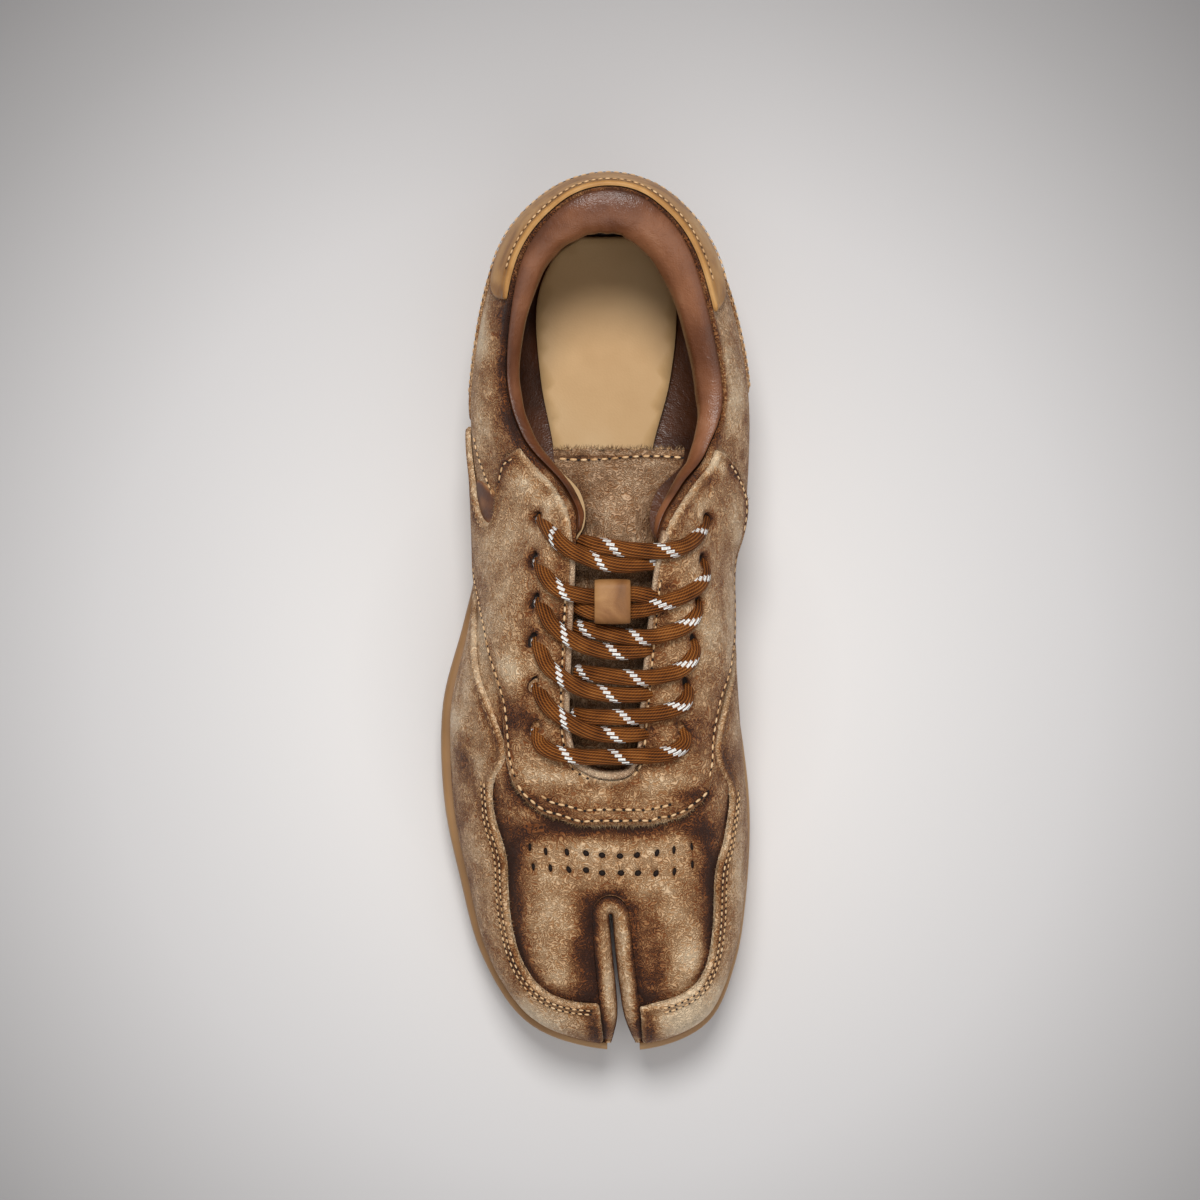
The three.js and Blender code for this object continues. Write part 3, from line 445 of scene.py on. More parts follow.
def picture(points):
    """Where points in mm lie in the 1200-pixel picture."""
    p = points + SHIFT
    scale = PIXEL * (1 - p[..., 2] / LENS_HEIGHT)
    return np.stack([600 + (p[..., 0] - EYE[0]) / scale, 600 - (p[..., 1] - EYE[1]) / scale], -1)


def last(u, v):
    """The bare last: v runs from the sole (0) up to the top line (1)."""
    u, v = np.broadcast_arrays(np.asarray(u, float), np.asarray(v, float))
    s = spline(SECTIONS, u, True)
    edge, out = sole_edge(u)
    foot = np.empty((*u.shape, 3))
    foot[..., :2] = edge - out * s[..., 2, None]
    foot[..., 2] = sole_top(foot[..., 1]) + 0.3
    top = s[..., 3:6]
    rise = top[..., 2] - foot[..., 2]
    low = np.concatenate([foot[..., :2] + out * s[..., 6, None], (foot[..., 2] + rise * s[..., 7])[...,
            None]], -1)
    high = top + (foot - top) * s[..., 8, None]
    high[..., 2] = foot[..., 2] + rise * s[..., 9]
    w, v = 1 - v[..., None], v[..., None]
    return foot * w**3 + low * 3 * w * w * v + high * 3 * w * v * v + top * v**3


def last_normal(u, v):
    up = last(u, np.minimum(v + 0.01, 1)) - last(u, np.maximum(v - 0.01, 0))
    normal = np.cross(last(u + 0.05, v) - last(u - 0.05, v), up)
    return normal / np.linalg.norm(normal, axis=-1, keepdims=True)


def relief(points, normals):
    """Soft troughs and ridges, listed as seen from above, with a slight unevenness all over."""
    spot = picture(points)
    up = np.clip(normals[..., 2] * 2.5, 0, 1)
    total = 0.18 * np.sin(points[..., 1] / 9 + points[..., 2] / 7) * np.sin(points[..., 0] / 8 + 1.3)
    for x0, y0, x1, y1, height, wide in CREASES:
        run = np.array([x1 - x0, y1 - y0])
        f = np.clip(((spot - (x0, y0)) @ run) / (run @ run), 0, 1)
        away = np.linalg.norm(spot - (x0, y0) - f[..., None] * run, axis=-1) * PIXEL
        total = total + up * height * np.exp(-((away / wide) ** 2))
    return total


def on_last(u, v, offset):
    """A point over the last, with the creases that every layer shares."""
    u, v, offset = np.broadcast_arrays(u, v, offset)
    bare, normal = last(u, v), last_normal(u, v)
    calm = np.clip((1 - v) * 12, 0.15, 1) * np.clip(v * 10, 0, 1)
    return bare + normal * (offset + relief(bare, normal) * calm)[..., None]


lining_leather, tree, shader = material("lining_leather", 0.36, Specular_IOR_Level=0.5)
place = add(tree, "ShaderNodeTexCoord").outputs["Object"]
shade = add(tree, "ShaderNodeAttribute", attribute_name="shade").outputs["Fac"]
cloud = add(tree, "ShaderNodeTexNoise", {"Vector": place, "Scale": 45, "Detail": 5}).outputs["Fac"]
cells = add(tree, "ShaderNodeTexVoronoi", {"Vector": place, "Scale": 1400}, feature="DISTANCE_TO_EDGE")
wrinkle = add(tree, "ShaderNodeTexNoise", {"Vector": place, "Scale": 260, "Detail": 6, "Distortion": 1.5})
# The shade attribute darkens and lightens it: painted shade and highlights on the collar and inside the shoe.
tone = add(tree, "ShaderNodeMath", {0: shade, 1: 0.35, 2: cloud}, operation="MULTIPLY_ADD").outputs["Value"]
tree.links.new(ramp(tree, tone, (0.15, "#3a1e0e"), (0.45, "#683b20"), (0.7, "#905c3c"), (0.95, "#b78563")),
               shader.inputs["Base Color"])
relief_height = add(tree, "ShaderNodeMath", {0: cells.outputs["Distance"], 1: 0.5, 2: wrinkle.outputs["Fac"]},
                    operation="MULTIPLY_ADD").outputs["Value"]
tree.links.new(add(tree, "ShaderNodeBump", {"Height": relief_height, "Strength": 0.5,
                                            "Distance": 0.0005}).outputs[0],
               shader.inputs["Normal"])

u = np.linspace(0, TURN, 141)[:-1]
v = np.concatenate([[0.0], np.linspace(0.04, 0.97, 18)])
grid = on_last(u[:, None], v[None, :], np.full((1, len(v)), -2.2))
flange = []
for inset, rise in ((24, -3.5), (9.4, -3.4), (8.6, 0.25)):
    plan = sole_edge(u, inset)[0]
    flange.append(np.c_[plan, sole_top(plan[:, 1]) + rise][:, None, :])
grid = np.concatenate([*flange, grid], 1)
v = np.concatenate([[0, 0, 0], v])
points = grid.reshape(-1, 3)
faces = []
for i in range(len(u)):
    for j in range(len(v) - 1):
        a, b = i * len(v) + j, ((i + 1) % len(u)) * len(v) + j
        faces.append((a, a + 1, b + 1, b))
middle = points[np.array(faces)].mean(1)
split = share_of(SPLIT, np.linspace(0, 1, 60))
near_split = np.abs(middle[:, 0] - np.interp(-middle[:, 1], -split[:, 0], split[:, 1])) < 9
faces = [f for f, drop in zip(faces, near_split & (middle[:, 1] < -80)) if not drop]
# The whole lining is darkened: painted shade inside the shoe.
lining = shaped("inner_lining", points, faces, lining_leather, "lining_leather", shade=np.full(len(points),
        -0.65))

# Upper: vamp and quarters of burnished pull-up suede, cut from panels and lasted round the foot.
# The vamp carries two curved rows of punched holes and is seamed to the lips of the split.
MM = np.array([24.0, 75.0])
# Spots of the picture (x, y, width, height, amount) that lighten or darken the suede: burnished colour
# together with painted highlights and painted shade.
TONES = np.array([
    (540, 855, 14, 9, 0.35), (585, 848, 16, 8, 0.45), (647, 852, 18, 8, 0.3), (550, 876, 16, 10, 0.5),
    (665, 884, 18, 12, 0.45), (553, 905, 16, 16, 0.45), (545, 945, 14, 16, 0.2), (562, 975, 20, 18, 0.6),
    (672, 912, 14, 16, 0.45), (690, 955, 13, 22, 0.75), (682, 988, 16, 10, 0.5), (603, 828, 90, 9, -0.8),
    (525, 833, 14, 16, -0.6), (700, 830, 14, 18, -0.6), (620, 885, 16, 10, -0.4), (585, 900, 9, 16, -0.6),
    (582, 962, 10, 26, -0.7), (652, 925, 9, 20, -0.5), (658, 968, 10, 26, -0.75), (519, 925, 7, 45, -0.6),
    (517, 852, 9, 20, -0.5), (708, 860, 8, 40, -0.6), (708, 930, 8, 40, -0.5), (570, 775, 34, 8, 0.75),
    (655, 776, 26, 9, 0.65), (515, 668, 13, 16, 0.75), (525, 632, 12, 14, -0.15), (487, 632, 6, 22, 0.6),
    (477, 622, 5, 24, 0.8), (463, 722, 9, 14, 0.9), (468, 690, 8, 12, 0.2), (710, 632, 14, 20, 0.5),
    (727, 665, 8, 18, 0.6), (680, 672, 10, 10, 0.3), (695, 722, 15, 18, -0.6), (522, 712, 14, 18, -0.65),
    (508, 740, 10, 20, -0.5), (532, 797, 22, 8, -0.6), (600, 806, 50, 5, -0.35), (690, 793, 20, 8, -0.6),
    (482, 850, 8, 14, 0.4), (468, 762, 8, 20, -0.5), (466, 812, 8, 16, -0.3), (480, 900, 9, 14, 0.1),
    (492, 945, 9, 14, -0.45), (510, 975, 12, 12, 0.1), (540, 1014, 38, 18, 1.25), (597, 1028, 9, 12, -0.8),
    (650, 1024, 10, 12, -0.8), (690, 1014, 32, 18, 1.25), (718, 990, 10, 20, 0.5), (731, 875, 7, 30, 0.55),
    (736, 925, 7, 26, 0.5), (725, 760, 12, 18, -0.4), (737, 790, 6, 18, 0.3), (480, 335, 9, 28, 1.15),
    (503, 312, 9, 26, -0.7), (498, 372, 10, 20, -0.2), (507, 422, 12, 14, -0.6), (482, 420, 10, 20, 0.25),
    (735, 397, 9, 28, 0.95), (725, 360, 8, 26, 0.5), (716, 330, 8, 20, 0.1), (722, 440, 10, 12, -0.5),
    (535, 480, 16, 12, 0.85), (560, 503, 12, 12, 0.7), (508, 462, 8, 12, -0.35), (517, 535, 16, 16, 0.35),
    (496, 545, 9, 22, 0.5), (557, 535, 12, 8, -0.4), (711, 466, 10, 12, 0.7), (729, 468, 7, 14, -0.6),
    (692, 502, 10, 14, 0.5), (729, 522, 8, 22, 0.45), (724, 580, 10, 30, 0.35), (503, 590, 14, 24, 0.25),
    (545, 650, 8, 40, -0.2), (694, 610, 12, 70, 0.4), (627, 925, 5, 24, 0.7), (603, 935, 5, 24, -0.2),
    (606, 990, 6, 20, 0.5), (630, 985, 5, 30, 0.3), (610, 1030, 8, 10, -0.9), (634, 1028, 8, 12, -0.9),
    (612, 898, 14, 6, -0.3),
])


def toned(points, normals):
    """Light patches and dark ones, listed as spots seen from above: partly the suede's own rubbed and
    burnished colour, partly painted highlights and painted shade in creases and hollows, fading where the
    surface turns away from above.
    """
    spot = picture(points)
    total = np.zeros(spot.shape[:-1])
    for x, y, wide, tall, amount in TONES:
        total += amount * np.exp(-(((spot[..., 0] - x) / wide) ** 2) - ((spot[..., 1] - y) / tall) ** 2)
    return np.clip(total, -1, 1) * np.clip(normals[..., 2] * 3, 0, 1)


def along(line, gap, closed=False):
    """Points at even steps along a line of u and v."""
    line = np.asarray(line, float)
    if closed:
        line = np.vstack([line, line[:1]])
    run = np.r_[0, np.cumsum(np.linalg.norm(np.diff(line * MM[:line.shape[1]], axis=0), axis=1))]
    steps = np.linspace(0, run[-1], max(int(run[-1] / gap), 4) + 1)
    if closed:
        steps = steps[:-1]
    return np.stack([np.interp(steps, run, line[:, k]) for k in range(line.shape[1])], -1)


def rounded(line, rounds=2, closed=True):
    """Cuts the corners off a line, each round more finely."""
    line = np.asarray(line, float)
    for _ in range(rounds):
        after = np.roll(line, -1, 0) if closed else line[1:]
        before = line if closed else line[:-1]
        mixed = np.stack([before * 0.75 + after * 0.25, before * 0.25 + after * 0.75], 1).reshape(-1, 2)
        line = mixed if closed else np.vstack([line[:1], mixed[1:-1], line[-1:]])
    return line


def sideways(line, distance, closed=True):
    """A line of u and v moved to its left along the last, by a distance in mm."""
    u, v = line.T
    here = last(u, v)
    if closed:
        run = np.roll(here, -1, 0) - np.roll(here, 1, 0)
    else:
        run = np.gradient(here, axis=0)
    run /= np.linalg.norm(run, axis=1, keepdims=True) + 1e-9
    side = np.cross(last_normal(u, v), run)
    du = (last(u + 0.01, v) - last(u - 0.01, v)) / 0.02
    dv = (last(u, np.minimum(v + 0.01, 1)) - last(u, np.maximum(v - 0.01, 0))) / 0.02
    a, b, c = (du * du).sum(1), (du * dv).sum(1), (dv * dv).sum(1)
    p, q = (side * du).sum(1), (side * dv).sum(1)
    det = a * c - b * b
    return line + np.asarray(distance)[..., None] * np.stack([(p * c - q * b) / det, (q * a - p * b) / det],
                                                             -1)


def away_from(points, line):
    """Distance in mm from each point to a line of points."""
    tree = KDTree(len(line))
    for i, p in enumerate(line):
        tree.insert(p, i)
    tree.balance()
    return np.array([tree.find(p)[2] for p in points])


def area(loop):
    x, y = loop.T
    return (x * np.roll(y, -1) - y * np.roll(x, -1)).sum() / 2


def panel(name, loop, low, high, finish, slot_name, replaced=(), gap=1.5, holes=(), hole_finish=None,
          seams=(),
          puff=0.4, stitched=(), ragged=0.0, lit=0.55, groove_shade_and_burnish=0.4, rolled=0.0):
    """A leather panel over the last, inside a loop of u and v and between two offsets. Its cut edge is
    rounded. Seams are lines that pull it down, stitched the distances of its stitch rows from the edge."""
    loop = along(loop, gap * 0.55, True)
    if area(loop) < 0:
        loop = loop[::-1]
    if ragged:
        wild = np.random.default_rng(len(loop))
        loop = sideways(loop, wild.uniform(-ragged, ragged, len(loop)))
    rings = [sideways(loop, d) * MM for d in (0.5, 1.2, *stitched)]
    flat, faces, borders = filling(loop * MM, gap, rings, [hole * MM for hole in holes])
    u, v = (flat / MM).T
    bare, normal = last(u, v), last_normal(u, v)
    edge = away_from(bare, bare[borders[0]])
    offset = high - (high - low) * 0.45 * np.exp(-((edge / 0.5) ** 2)) + puff * (1 - np.exp(-edge / 4))
    offset = offset + rolled * np.exp(-(((edge - 1.2) / 0.9) ** 2))
    # Colour: toned patches, a lighter raw edge, and a darker band inside it, painted shade in the groove with
    # burnish.
    shade = toned(bare, normal) + lit * np.exp(-((edge / 0.7) ** 2)) - groove_shade_and_burnish * np.exp(-(((edge - 2.4)
            / 1.8) ** 2))
    for row in stitched:
        offset = offset - 0.28 * np.exp(-(((edge - row) / 0.55) ** 2))
    for line, depth, wide in seams:
        away = away_from(bare, last(*along(line, 1).T))
        offset = offset - depth * np.exp(-((away / wide) ** 2))
        # Each seam darkens the panel beside it: painted shade in its trough, with burnish.
        shade = shade - 1.15 * np.exp(-((away / (wide * 1.9)) ** 1.3))
    for border in borders[1:]:
        away = away_from(bare, bare[border])
        wide = 0.9 if len(border) > 14 else 0.45
        offset = offset - 0.35 * np.exp(-((away / wide) ** 2))
        # Painted shade round each hole, stronger round the big eyelets.
        shade = shade - (0.6 if wide > 0.5 else 0.1) * np.exp(-((away / (wide * 1.6)) ** 2))
    points = on_last(u, v, offset)
    points, shade = [points], [shade]
    start, faces = len(flat), [tuple(f) for f in faces]
    dark = []
    for k, border in enumerate(borders):
        n = len(border)
        bu, bv = u[border], v[border]
        depth = [0.5 * (low + high) - 0.15, low] if k == 0 else [high - 0.9, low + 0.05]
        before = np.array(border)
        for z in depth:
            points.append(on_last(bu, bv, np.full(n, z)))
            # Hole walls get painted shade; the cut edge's walls keep the raw edge's lighter colour.
            shade.append(np.full(n, lit if k == 0 else -1.0))
            now = np.arange(start, start + n)
            order = [(before[(j + 1) % n], before[j], now[j], now[(j + 1) % n]) for j in range(n)]
            faces += order if k == 0 else [f[::-1] for f in order]
            start += n
            before = now
        if k > 0:
            dark.append(len(faces))
            faces.append(tuple(before if area(np.c_[bu, bv]) > 0 else before[::-1]))
    made = shaped(name, np.vstack(points), faces, finish, slot_name, replaced, shade=np.concatenate(shade))
    turn = sum(p.normal.dot(Vector(last_normal(*(flat[list(p.vertices)].mean(0) / MM))))
               for p in list(made.data.polygons)[:50] if max(p.vertices) < len(flat))
    if turn < 0:
        made.data.flip_normals()
    # Each hole's bottom is a near-black cap of painted shade.
    if hole_finish:
        made.data.materials.append(hole_finish)
        for i in dark:
            made.data.polygons[i].material_index = 1
    return made, loop


def spots_on_last(spots):
    """u and v of the points of the last that show at these places of the picture."""
    spots = np.asarray(spots, float)
    u, v = np.meshgrid(np.arange(0, TURN, 0.1), np.linspace(0.06, 0.99, 60), indexing="ij")
    u, v = u.ravel(), v.ravel()
    seen = last_normal(u, v)[:, 2] > 0.06
    u, v = u[seen], v[seen]
    grid = picture(last(u, v))
    found = []
    for spot in spots:
        found.append(np.argmin(((grid - spot) ** 2).sum(1)))
    u, v = u[found], v[found]
    for _ in range(8):
        miss = spots - picture(last(u, v))
        du = (picture(last(u + 0.02, v)) - picture(last(u - 0.02, v))) / 0.04
        dv = (picture(last(u, v + 0.01)) - picture(last(u, v - 0.01))) / 0.02
        det = du[:, 0] * dv[:, 1] - du[:, 1] * dv[:, 0]
        det = np.where(np.abs(det) < 1e-3, 1e-3, det)
        u = u + np.clip((miss[:, 0] * dv[:, 1] - miss[:, 1] * dv[:, 0]) / det, -0.2, 0.2)
        v = np.clip(v + np.clip((du[:, 0] * miss[:, 1] - du[:, 1] * miss[:, 0]) / det, -0.05, 0.05), 0, 1)
    return np.c_[u, v]


def seam_side(sign):
    """The seam of the split's lips on one side: u at each v, from the sole up to its root."""
    v = np.linspace(0, 0.8, 70)
    low, high = np.full(len(v), 10.6 if sign < 0 else 12.5), np.full(len(v), 12.6 if sign < 0 else 14.6)
    for _ in range(26):
        u = (low + high) / 2
        p = last(u, v)
        at = [np.interp(-p[:, 1], -split[:, 0], split[:, k]) for k in (1, 4)]
        past = p[:, 0] > at[0] + sign * at[1]
        high, low = np.where(past, u, high), np.where(past, low, u)
    return np.c_[u, v][last(u, v)[:, 1] < split[0, 0]]


def seam_root():
    turn = np.linspace(math.pi, 0, 13)[1:-1]
    aim = np.c_[split[0, 1] + split[0, 4] * np.cos(turn), split[0, 0] + SPLIT_ROOT * np.sin(turn)]
    u, v = np.full(len(aim), 12.5), np.full(len(aim), 0.6)
    for _ in range(20):
        miss = aim - last(u, v)[:, :2]
        du = (last(u + 0.02, v) - last(u - 0.02, v))[:, :2] / 0.04
        dv = (last(u, v + 0.01) - last(u, v - 0.01))[:, :2] / 0.02
        det = du[:, 0] * dv[:, 1] - du[:, 1] * dv[:, 0]
        u = u + np.clip((miss[:, 0] * dv[:, 1] - miss[:, 1] * dv[:, 0]) / det, -0.3, 0.3)
        v = np.clip(v + np.clip((du[:, 0] * miss[:, 1] - du[:, 1] * miss[:, 0]) / det, -0.06, 0.06), 0.2,
                    0.95)
    return np.c_[u, v]


def suede(name, dark, middle, pale, deep="#3a1b09"):
    """Pull-up suede: curling nap lines whose pale crests paint the glints of its sheen, cloudy rubbed
    patches, satin where it is worn, and the shade attribute's painted highlights and shade, with burnish dark
    at the seams."""
    made, tree, shader = material(name, 0.62, Sheen_Weight=0.03, Specular_IOR_Level=0.3)
    place = add(tree, "ShaderNodeTexCoord").outputs["Object"]
    shade = add(tree, "ShaderNodeAttribute", attribute_name="shade").outputs["Fac"]
    noises = []
    for scale, detail, distortion in ((48, 4, 0.8), (210, 5, 0.6), (400, 1, 1.5), (2600, 3, 0)):
        settings = {"Vector": place, "Scale": scale, "Detail": detail, "Distortion": distortion}
        noises.append(add(tree, "ShaderNodeTexNoise", settings).outputs["Fac"])
    broad, small, curls, fuzz = noises
    turns = add(tree, "ShaderNodeMath", {0: curls, 1: 38.0}, operation="MULTIPLY").outputs[0]
    lines = add(tree, "ShaderNodeMath", {0: turns}, operation="SINE").outputs[0]
    # Tone: the shade attribute's painted light and shade, random clouds, and nap lines whose crests are
    # painted glints.
    tone = -0.11
    for layer, amount in ((shade, 0.42), (broad, 0.75), (small, 0.46), (lines, 0.15), (fuzz, 0.16)):
        tone = add(tree, "ShaderNodeMath", {0: layer, 1: amount, 2: tone},
                   operation="MULTIPLY_ADD").outputs[0]
    # The palest stop gives the painted glints on the crests of the nap lines.
    colour = ramp(tree, tone, (0.12, deep), (0.34, dark), (0.56, middle), (0.76, pale), (0.96, "#efd3ae"))
    tree.links.new(colour, shader.inputs["Base Color"])
    worn = add(tree, "ShaderNodeMapRange", {"Value": tone, "From Min": 0.35, "From Max": 0.8, "To Min": 0.68,
                                            "To Max": 0.46})
    tree.links.new(worn.outputs["Result"], shader.inputs["Roughness"])
    nap = fuzz
    for layer, amount in ((lines, 0.8), (small, 1.6)):
        nap = add(tree, "ShaderNodeMath", {0: layer, 1: amount, 2: nap}, operation="MULTIPLY_ADD").outputs[0]
    bump = add(tree, "ShaderNodeBump", {"Height": nap, "Strength": 0.75, "Distance": 0.0004}).outputs[0]
    tree.links.new(bump, shader.inputs["Normal"])
    return made


# Suede of the main panels and of the darker guards, and a near-black finish of painted shade for the inside
# of a punched hole.
vamp_suede = suede("burnished_suede", "#80471c", "#ad7f52", "#dbb287")
guard_suede = suede("guard_suede", "#7e4619", "#ad7e4f", "#ddb489")
punched, tree, shader = material("punched_hole_shade", 0.9)
shader.inputs["Base Color"].default_value = linear("#1c0f07")

root = seam_root()
left, right = seam_side(-1), seam_side(1)
SEAM = np.vstack([left, root, right[::-1]])
GUARD_OUTER = np.array([
    (5.2, 0.06), (6.3, 0.31), (6.9, 0.458), (7.4, 0.573), (7.7, 0.63), (8.02, 0.655), (8.14, 0.53), (8.5,
            0.507),
    (9.2, 0.548), (9.6, 0.516), (10.3, 0.395), (10.7, 0.362), (11.8, 0.355), (12.5, 0.385),
])
GUARD_INNER = np.array([
    (12.5, 0.385), (13.4, 0.364), (14.4, 0.372), (14.77, 0.403), (15.5, 0.512), (16, 0.516), (16.5, 0.44),
    (17.08, 0.375), (17.22, 0.545), (17.6, 0.52), (18.34, 0.38), (18.8, 0.25), (19.4, 0.08),
])
EYESTAY = np.array([
    (4.05, 0.86), (4.18, 0.78), (4.42, 0.69), (4.58, 0.64), (4.66, 0.6), (4.67, 0.56), (4.6, 0.52),
    (4.43, 0.467), (4.07, 0.42), (3.35, 0.33), (3.35, 0.21), (4.07, 0.2), (4.72, 0.2), (5.1, 0.2),
    (6, 0.363), (6.8, 0.551), (7.3, 0.631), (8.3, 0.66), (9.2, 0.783), (10.3, 0.86), (12.1, 0.896),
    (13.9, 0.885), (15.48, 0.823), (16.24, 0.721), (16.66, 0.621), (17.06, 0.575), (18, 0.515), (18.6, 0.379),
    (19.1, 0.3), (20.1, 0.4), (20.9, 0.51), (21.1, 0.62), (21.24, 0.8), (21.2, 0.93),
])
loop = np.vstack([
    [(7.2, 0.24), (9.5, 0.24), (11, 0.2)], left[left[:, 1] > 0.2], root, right[right[:, 1] > 0.2][::-1],
    [(14, 0.2), (15.5, 0.24), (17.8, 0.24), (17.8, 0.99)], np.c_[np.linspace(17.7, 7.3, 60),
                                                                 np.full(60, 0.99)],
    [(7.2, 0.99)],
])
TINY = np.linspace(0, 2 * math.pi, 11)[:-1]
holes = []
for spot in spots_on_last([
    (530, 847), (546, 851), (567, 852), (586, 853), (602, 855), (620, 856), (637, 855), (657, 853), (674,
            850),
    (692, 847), (534, 866), (551, 867), (569, 869), (586, 870), (602, 873), (621, 873), (638, 873), (656,
            873),
    (674, 871), (692, 864),
]):
    across = np.linalg.norm(last(spot[0] + 0.1, spot[1]) - last(spot[0] - 0.1, spot[1])) / 0.2
    tall = np.linalg.norm(last(spot[0], spot[1] + 0.02) - last(spot[0], spot[1] - 0.02)) / 0.04
    holes.append(spot + 1.05 * np.c_[np.cos(TINY) / across, np.sin(TINY) / tall])
apron_outer = rounded(GUARD_OUTER[6:], 2, False)
apron_inner = rounded(GUARD_INNER[:8], 2, False)
front_edge = rounded(EYESTAY[16:25], 2, False)
vamp, _ = panel("vamp", loop, -0.3, 0.0, vamp_suede, "suede", gap=1.25, holes=holes, hole_finish=punched,
                seams=[(SEAM, 0.9, 1.6), (apron_outer, 1.1, 2.2), (apron_inner, 1.1, 2.2),
                       (front_edge, 0.4, 1.6)],
                puff=0.7, lit=0, groove_shade_and_burnish=0)

u = np.linspace(17.2, 33.0, 320)
v = np.concatenate([np.linspace(0, 0.97, 60), [0.985, 1.0, 1.0, 0.97]])
offset = np.concatenate([np.zeros(60), [0.0, -0.4, -1.7, -2.2]])
grid = on_last(u[:, None] % TURN, v[None, :], offset[None, :])
bare, normal = last(u[:, None] % TURN, v[None, :]), last_normal(u[:, None] % TURN, v[None, :])
# Painted shade under the collar roll along the top line, and low down where the quarters meet the sole.
shade = toned(bare, normal) - 0.8 * np.exp(-((1 - v) / 0.05) ** 2) - 0.5 * np.exp(-(v / 0.06) ** 2)
n = len(v)
faces = sheet(len(u), n)
quarters = shaped("quarters", grid.reshape(-1, 3), faces, vamp_suede, "suede", ["upper"], shade=shade.ravel())

# Lips of the split: one folded suede strip sewn into the seam, which turns down into the gap.
# It is puffed along the middle, with painted shade at the seam and down into the gap, and a painted highlight
# along its top.
height_at = last(np.full(200, 12.5), np.linspace(0.05, 1, 200))
height_at = height_at[height_at[:, 1].argmin():]


def lip_row(at, across):
    floor_z = sole_top(at[0]) + 0.3
    seam = at[4] - 0.2
    edge, foot = min(at[3], seam - 2.1), min(at[2] + 0.3, seam - 2.1)
    shares = np.linspace(0, 1, 15) ** 1.3
    down = np.interp(shares, (0, 0.06, 0.2, 0.4, 0.65, 0.85, 0.95, 1), (5, 2.6, 0.9, -0.4, -0.9, -0.5, 0.2,
            1.3))
    down = np.append(down, 1.9)
    distance = np.append(edge + shares * (seam - edge), seam + 2.2)
    plan = np.array([across(d) for d in distance])
    skin = np.interp(plan[:, 1], height_at[:, 1], height_at[:, 2])
    crown = min(1, (skin[-1] - floor_z) / 16)
    z = np.maximum(skin - down * crown, floor_z + 2)
    wall = [(*across(foot + (edge - foot) * s), floor_z + (z[0] - floor_z) * s) for s in np.linspace(0, 0.9,
            5)]
    return np.vstack([wall, np.c_[plan, z]])


rows = []
sides = [share_of(SPLIT, s) for s in np.linspace(0.93, 0, 60)]
for at in sides:
    rows.append(lip_row(at, lambda d, at=at: (at[1] - d, at[0])))
for turn in np.linspace(math.pi, 0, 16)[1:-1]:
    rows.append(lip_row(sides[-1], lambda d, t=turn: (
        sides[-1][1] + d * math.cos(t), sides[-1][0] + d * SPLIT_ROOT / sides[-1][4] * math.sin(t))))
for at in sides[::-1]:
    rows.append(lip_row(at, lambda d, at=at: (at[1] + d, at[0])))
grid = np.array(rows)
n = grid.shape[1]
points = grid.reshape(-1, 3)
faces = sheet(len(rows), n, True)
# Painted shade down the wall into the gap and at the seam, a painted highlight on the crown.
over = np.interp(np.linspace(0, 1, 15), (0, 0.25, 0.6, 1), (-0.9, 0.3, 0.35, -1.1))
over = np.tile(np.r_[np.full(5, -1.0), over, -1.1], len(rows))
tone = toned(points, np.tile([0, 0, 1.0], (len(points), 1)))
lips = shaped("split_lips", points, faces, vamp_suede, "suede", ["toe_lips"], shade=over + tone)
if sum(p.normal.z for p in lips.data.polygons) < 0:
    lips.data.flip_normals()

# Guards, counter and heel tab: overlays cut with a raw edge and sewn over the upper round the toe and heel.
# Suede guards meet the apron in a raised edge; the heel tab is smooth tan leather.
guard_loop = rounded(np.vstack([GUARD_OUTER[:-1], [(12.2, 0.37)]]), 2, False)
low_edge = np.c_[np.linspace(left[0, 0], 5.2, 60), np.full(60, 0.012)]
side = left[left[:, 1] < 0.37][::-1]
guard_outer, outer_loop = panel("guard_outer_side", np.vstack([guard_loop[guard_loop[:, 0] < side[0, 0]],
                                                               side, low_edge]),
                                0.1, 1.35, guard_suede, "suede", ["guard_outer"], stitched=(1.7,
                                        3.4), ragged=0.06, puff=0.5, rolled=0.45)
guard_loop = rounded(np.vstack([[(12.9, 0.37)], GUARD_INNER[1:]]), 2, False)
low_edge = np.c_[np.linspace(19.4, right[0, 0], 60), np.full(60, 0.012)]
side = right[right[:, 1] < 0.37]
guard_inner, inner_loop = panel("guard_inner_side", np.vstack([side,
        guard_loop[guard_loop[:, 0] > side[-1, 0]], low_edge]),
                                0.1, 1.35, guard_suede, "suede", ["guard_inner"], stitched=(1.7,
                                        3.4), ragged=0.06, puff=0.5, rolled=0.45)
COUNTER = np.array([(21.9, 0.015), (21.9, 0.34), (22.2, 0.38), (23, 0.42), (25, 0.44), (27, 0.42),
                    (27.8, 0.38),
                    (28.32, 0.34), (28.32, 0.015)])
low_edge = np.c_[np.linspace(28.2, 22.0, 60), np.full(60, 0.012)]
counter, counter_loop = panel("heel_counter", np.vstack([rounded(COUNTER, 2, False), low_edge]), 0.05, 0.85,
                              guard_suede,
                              "suede", ["counter"], stitched=(1.7,), ragged=0.05, lit=0.1)


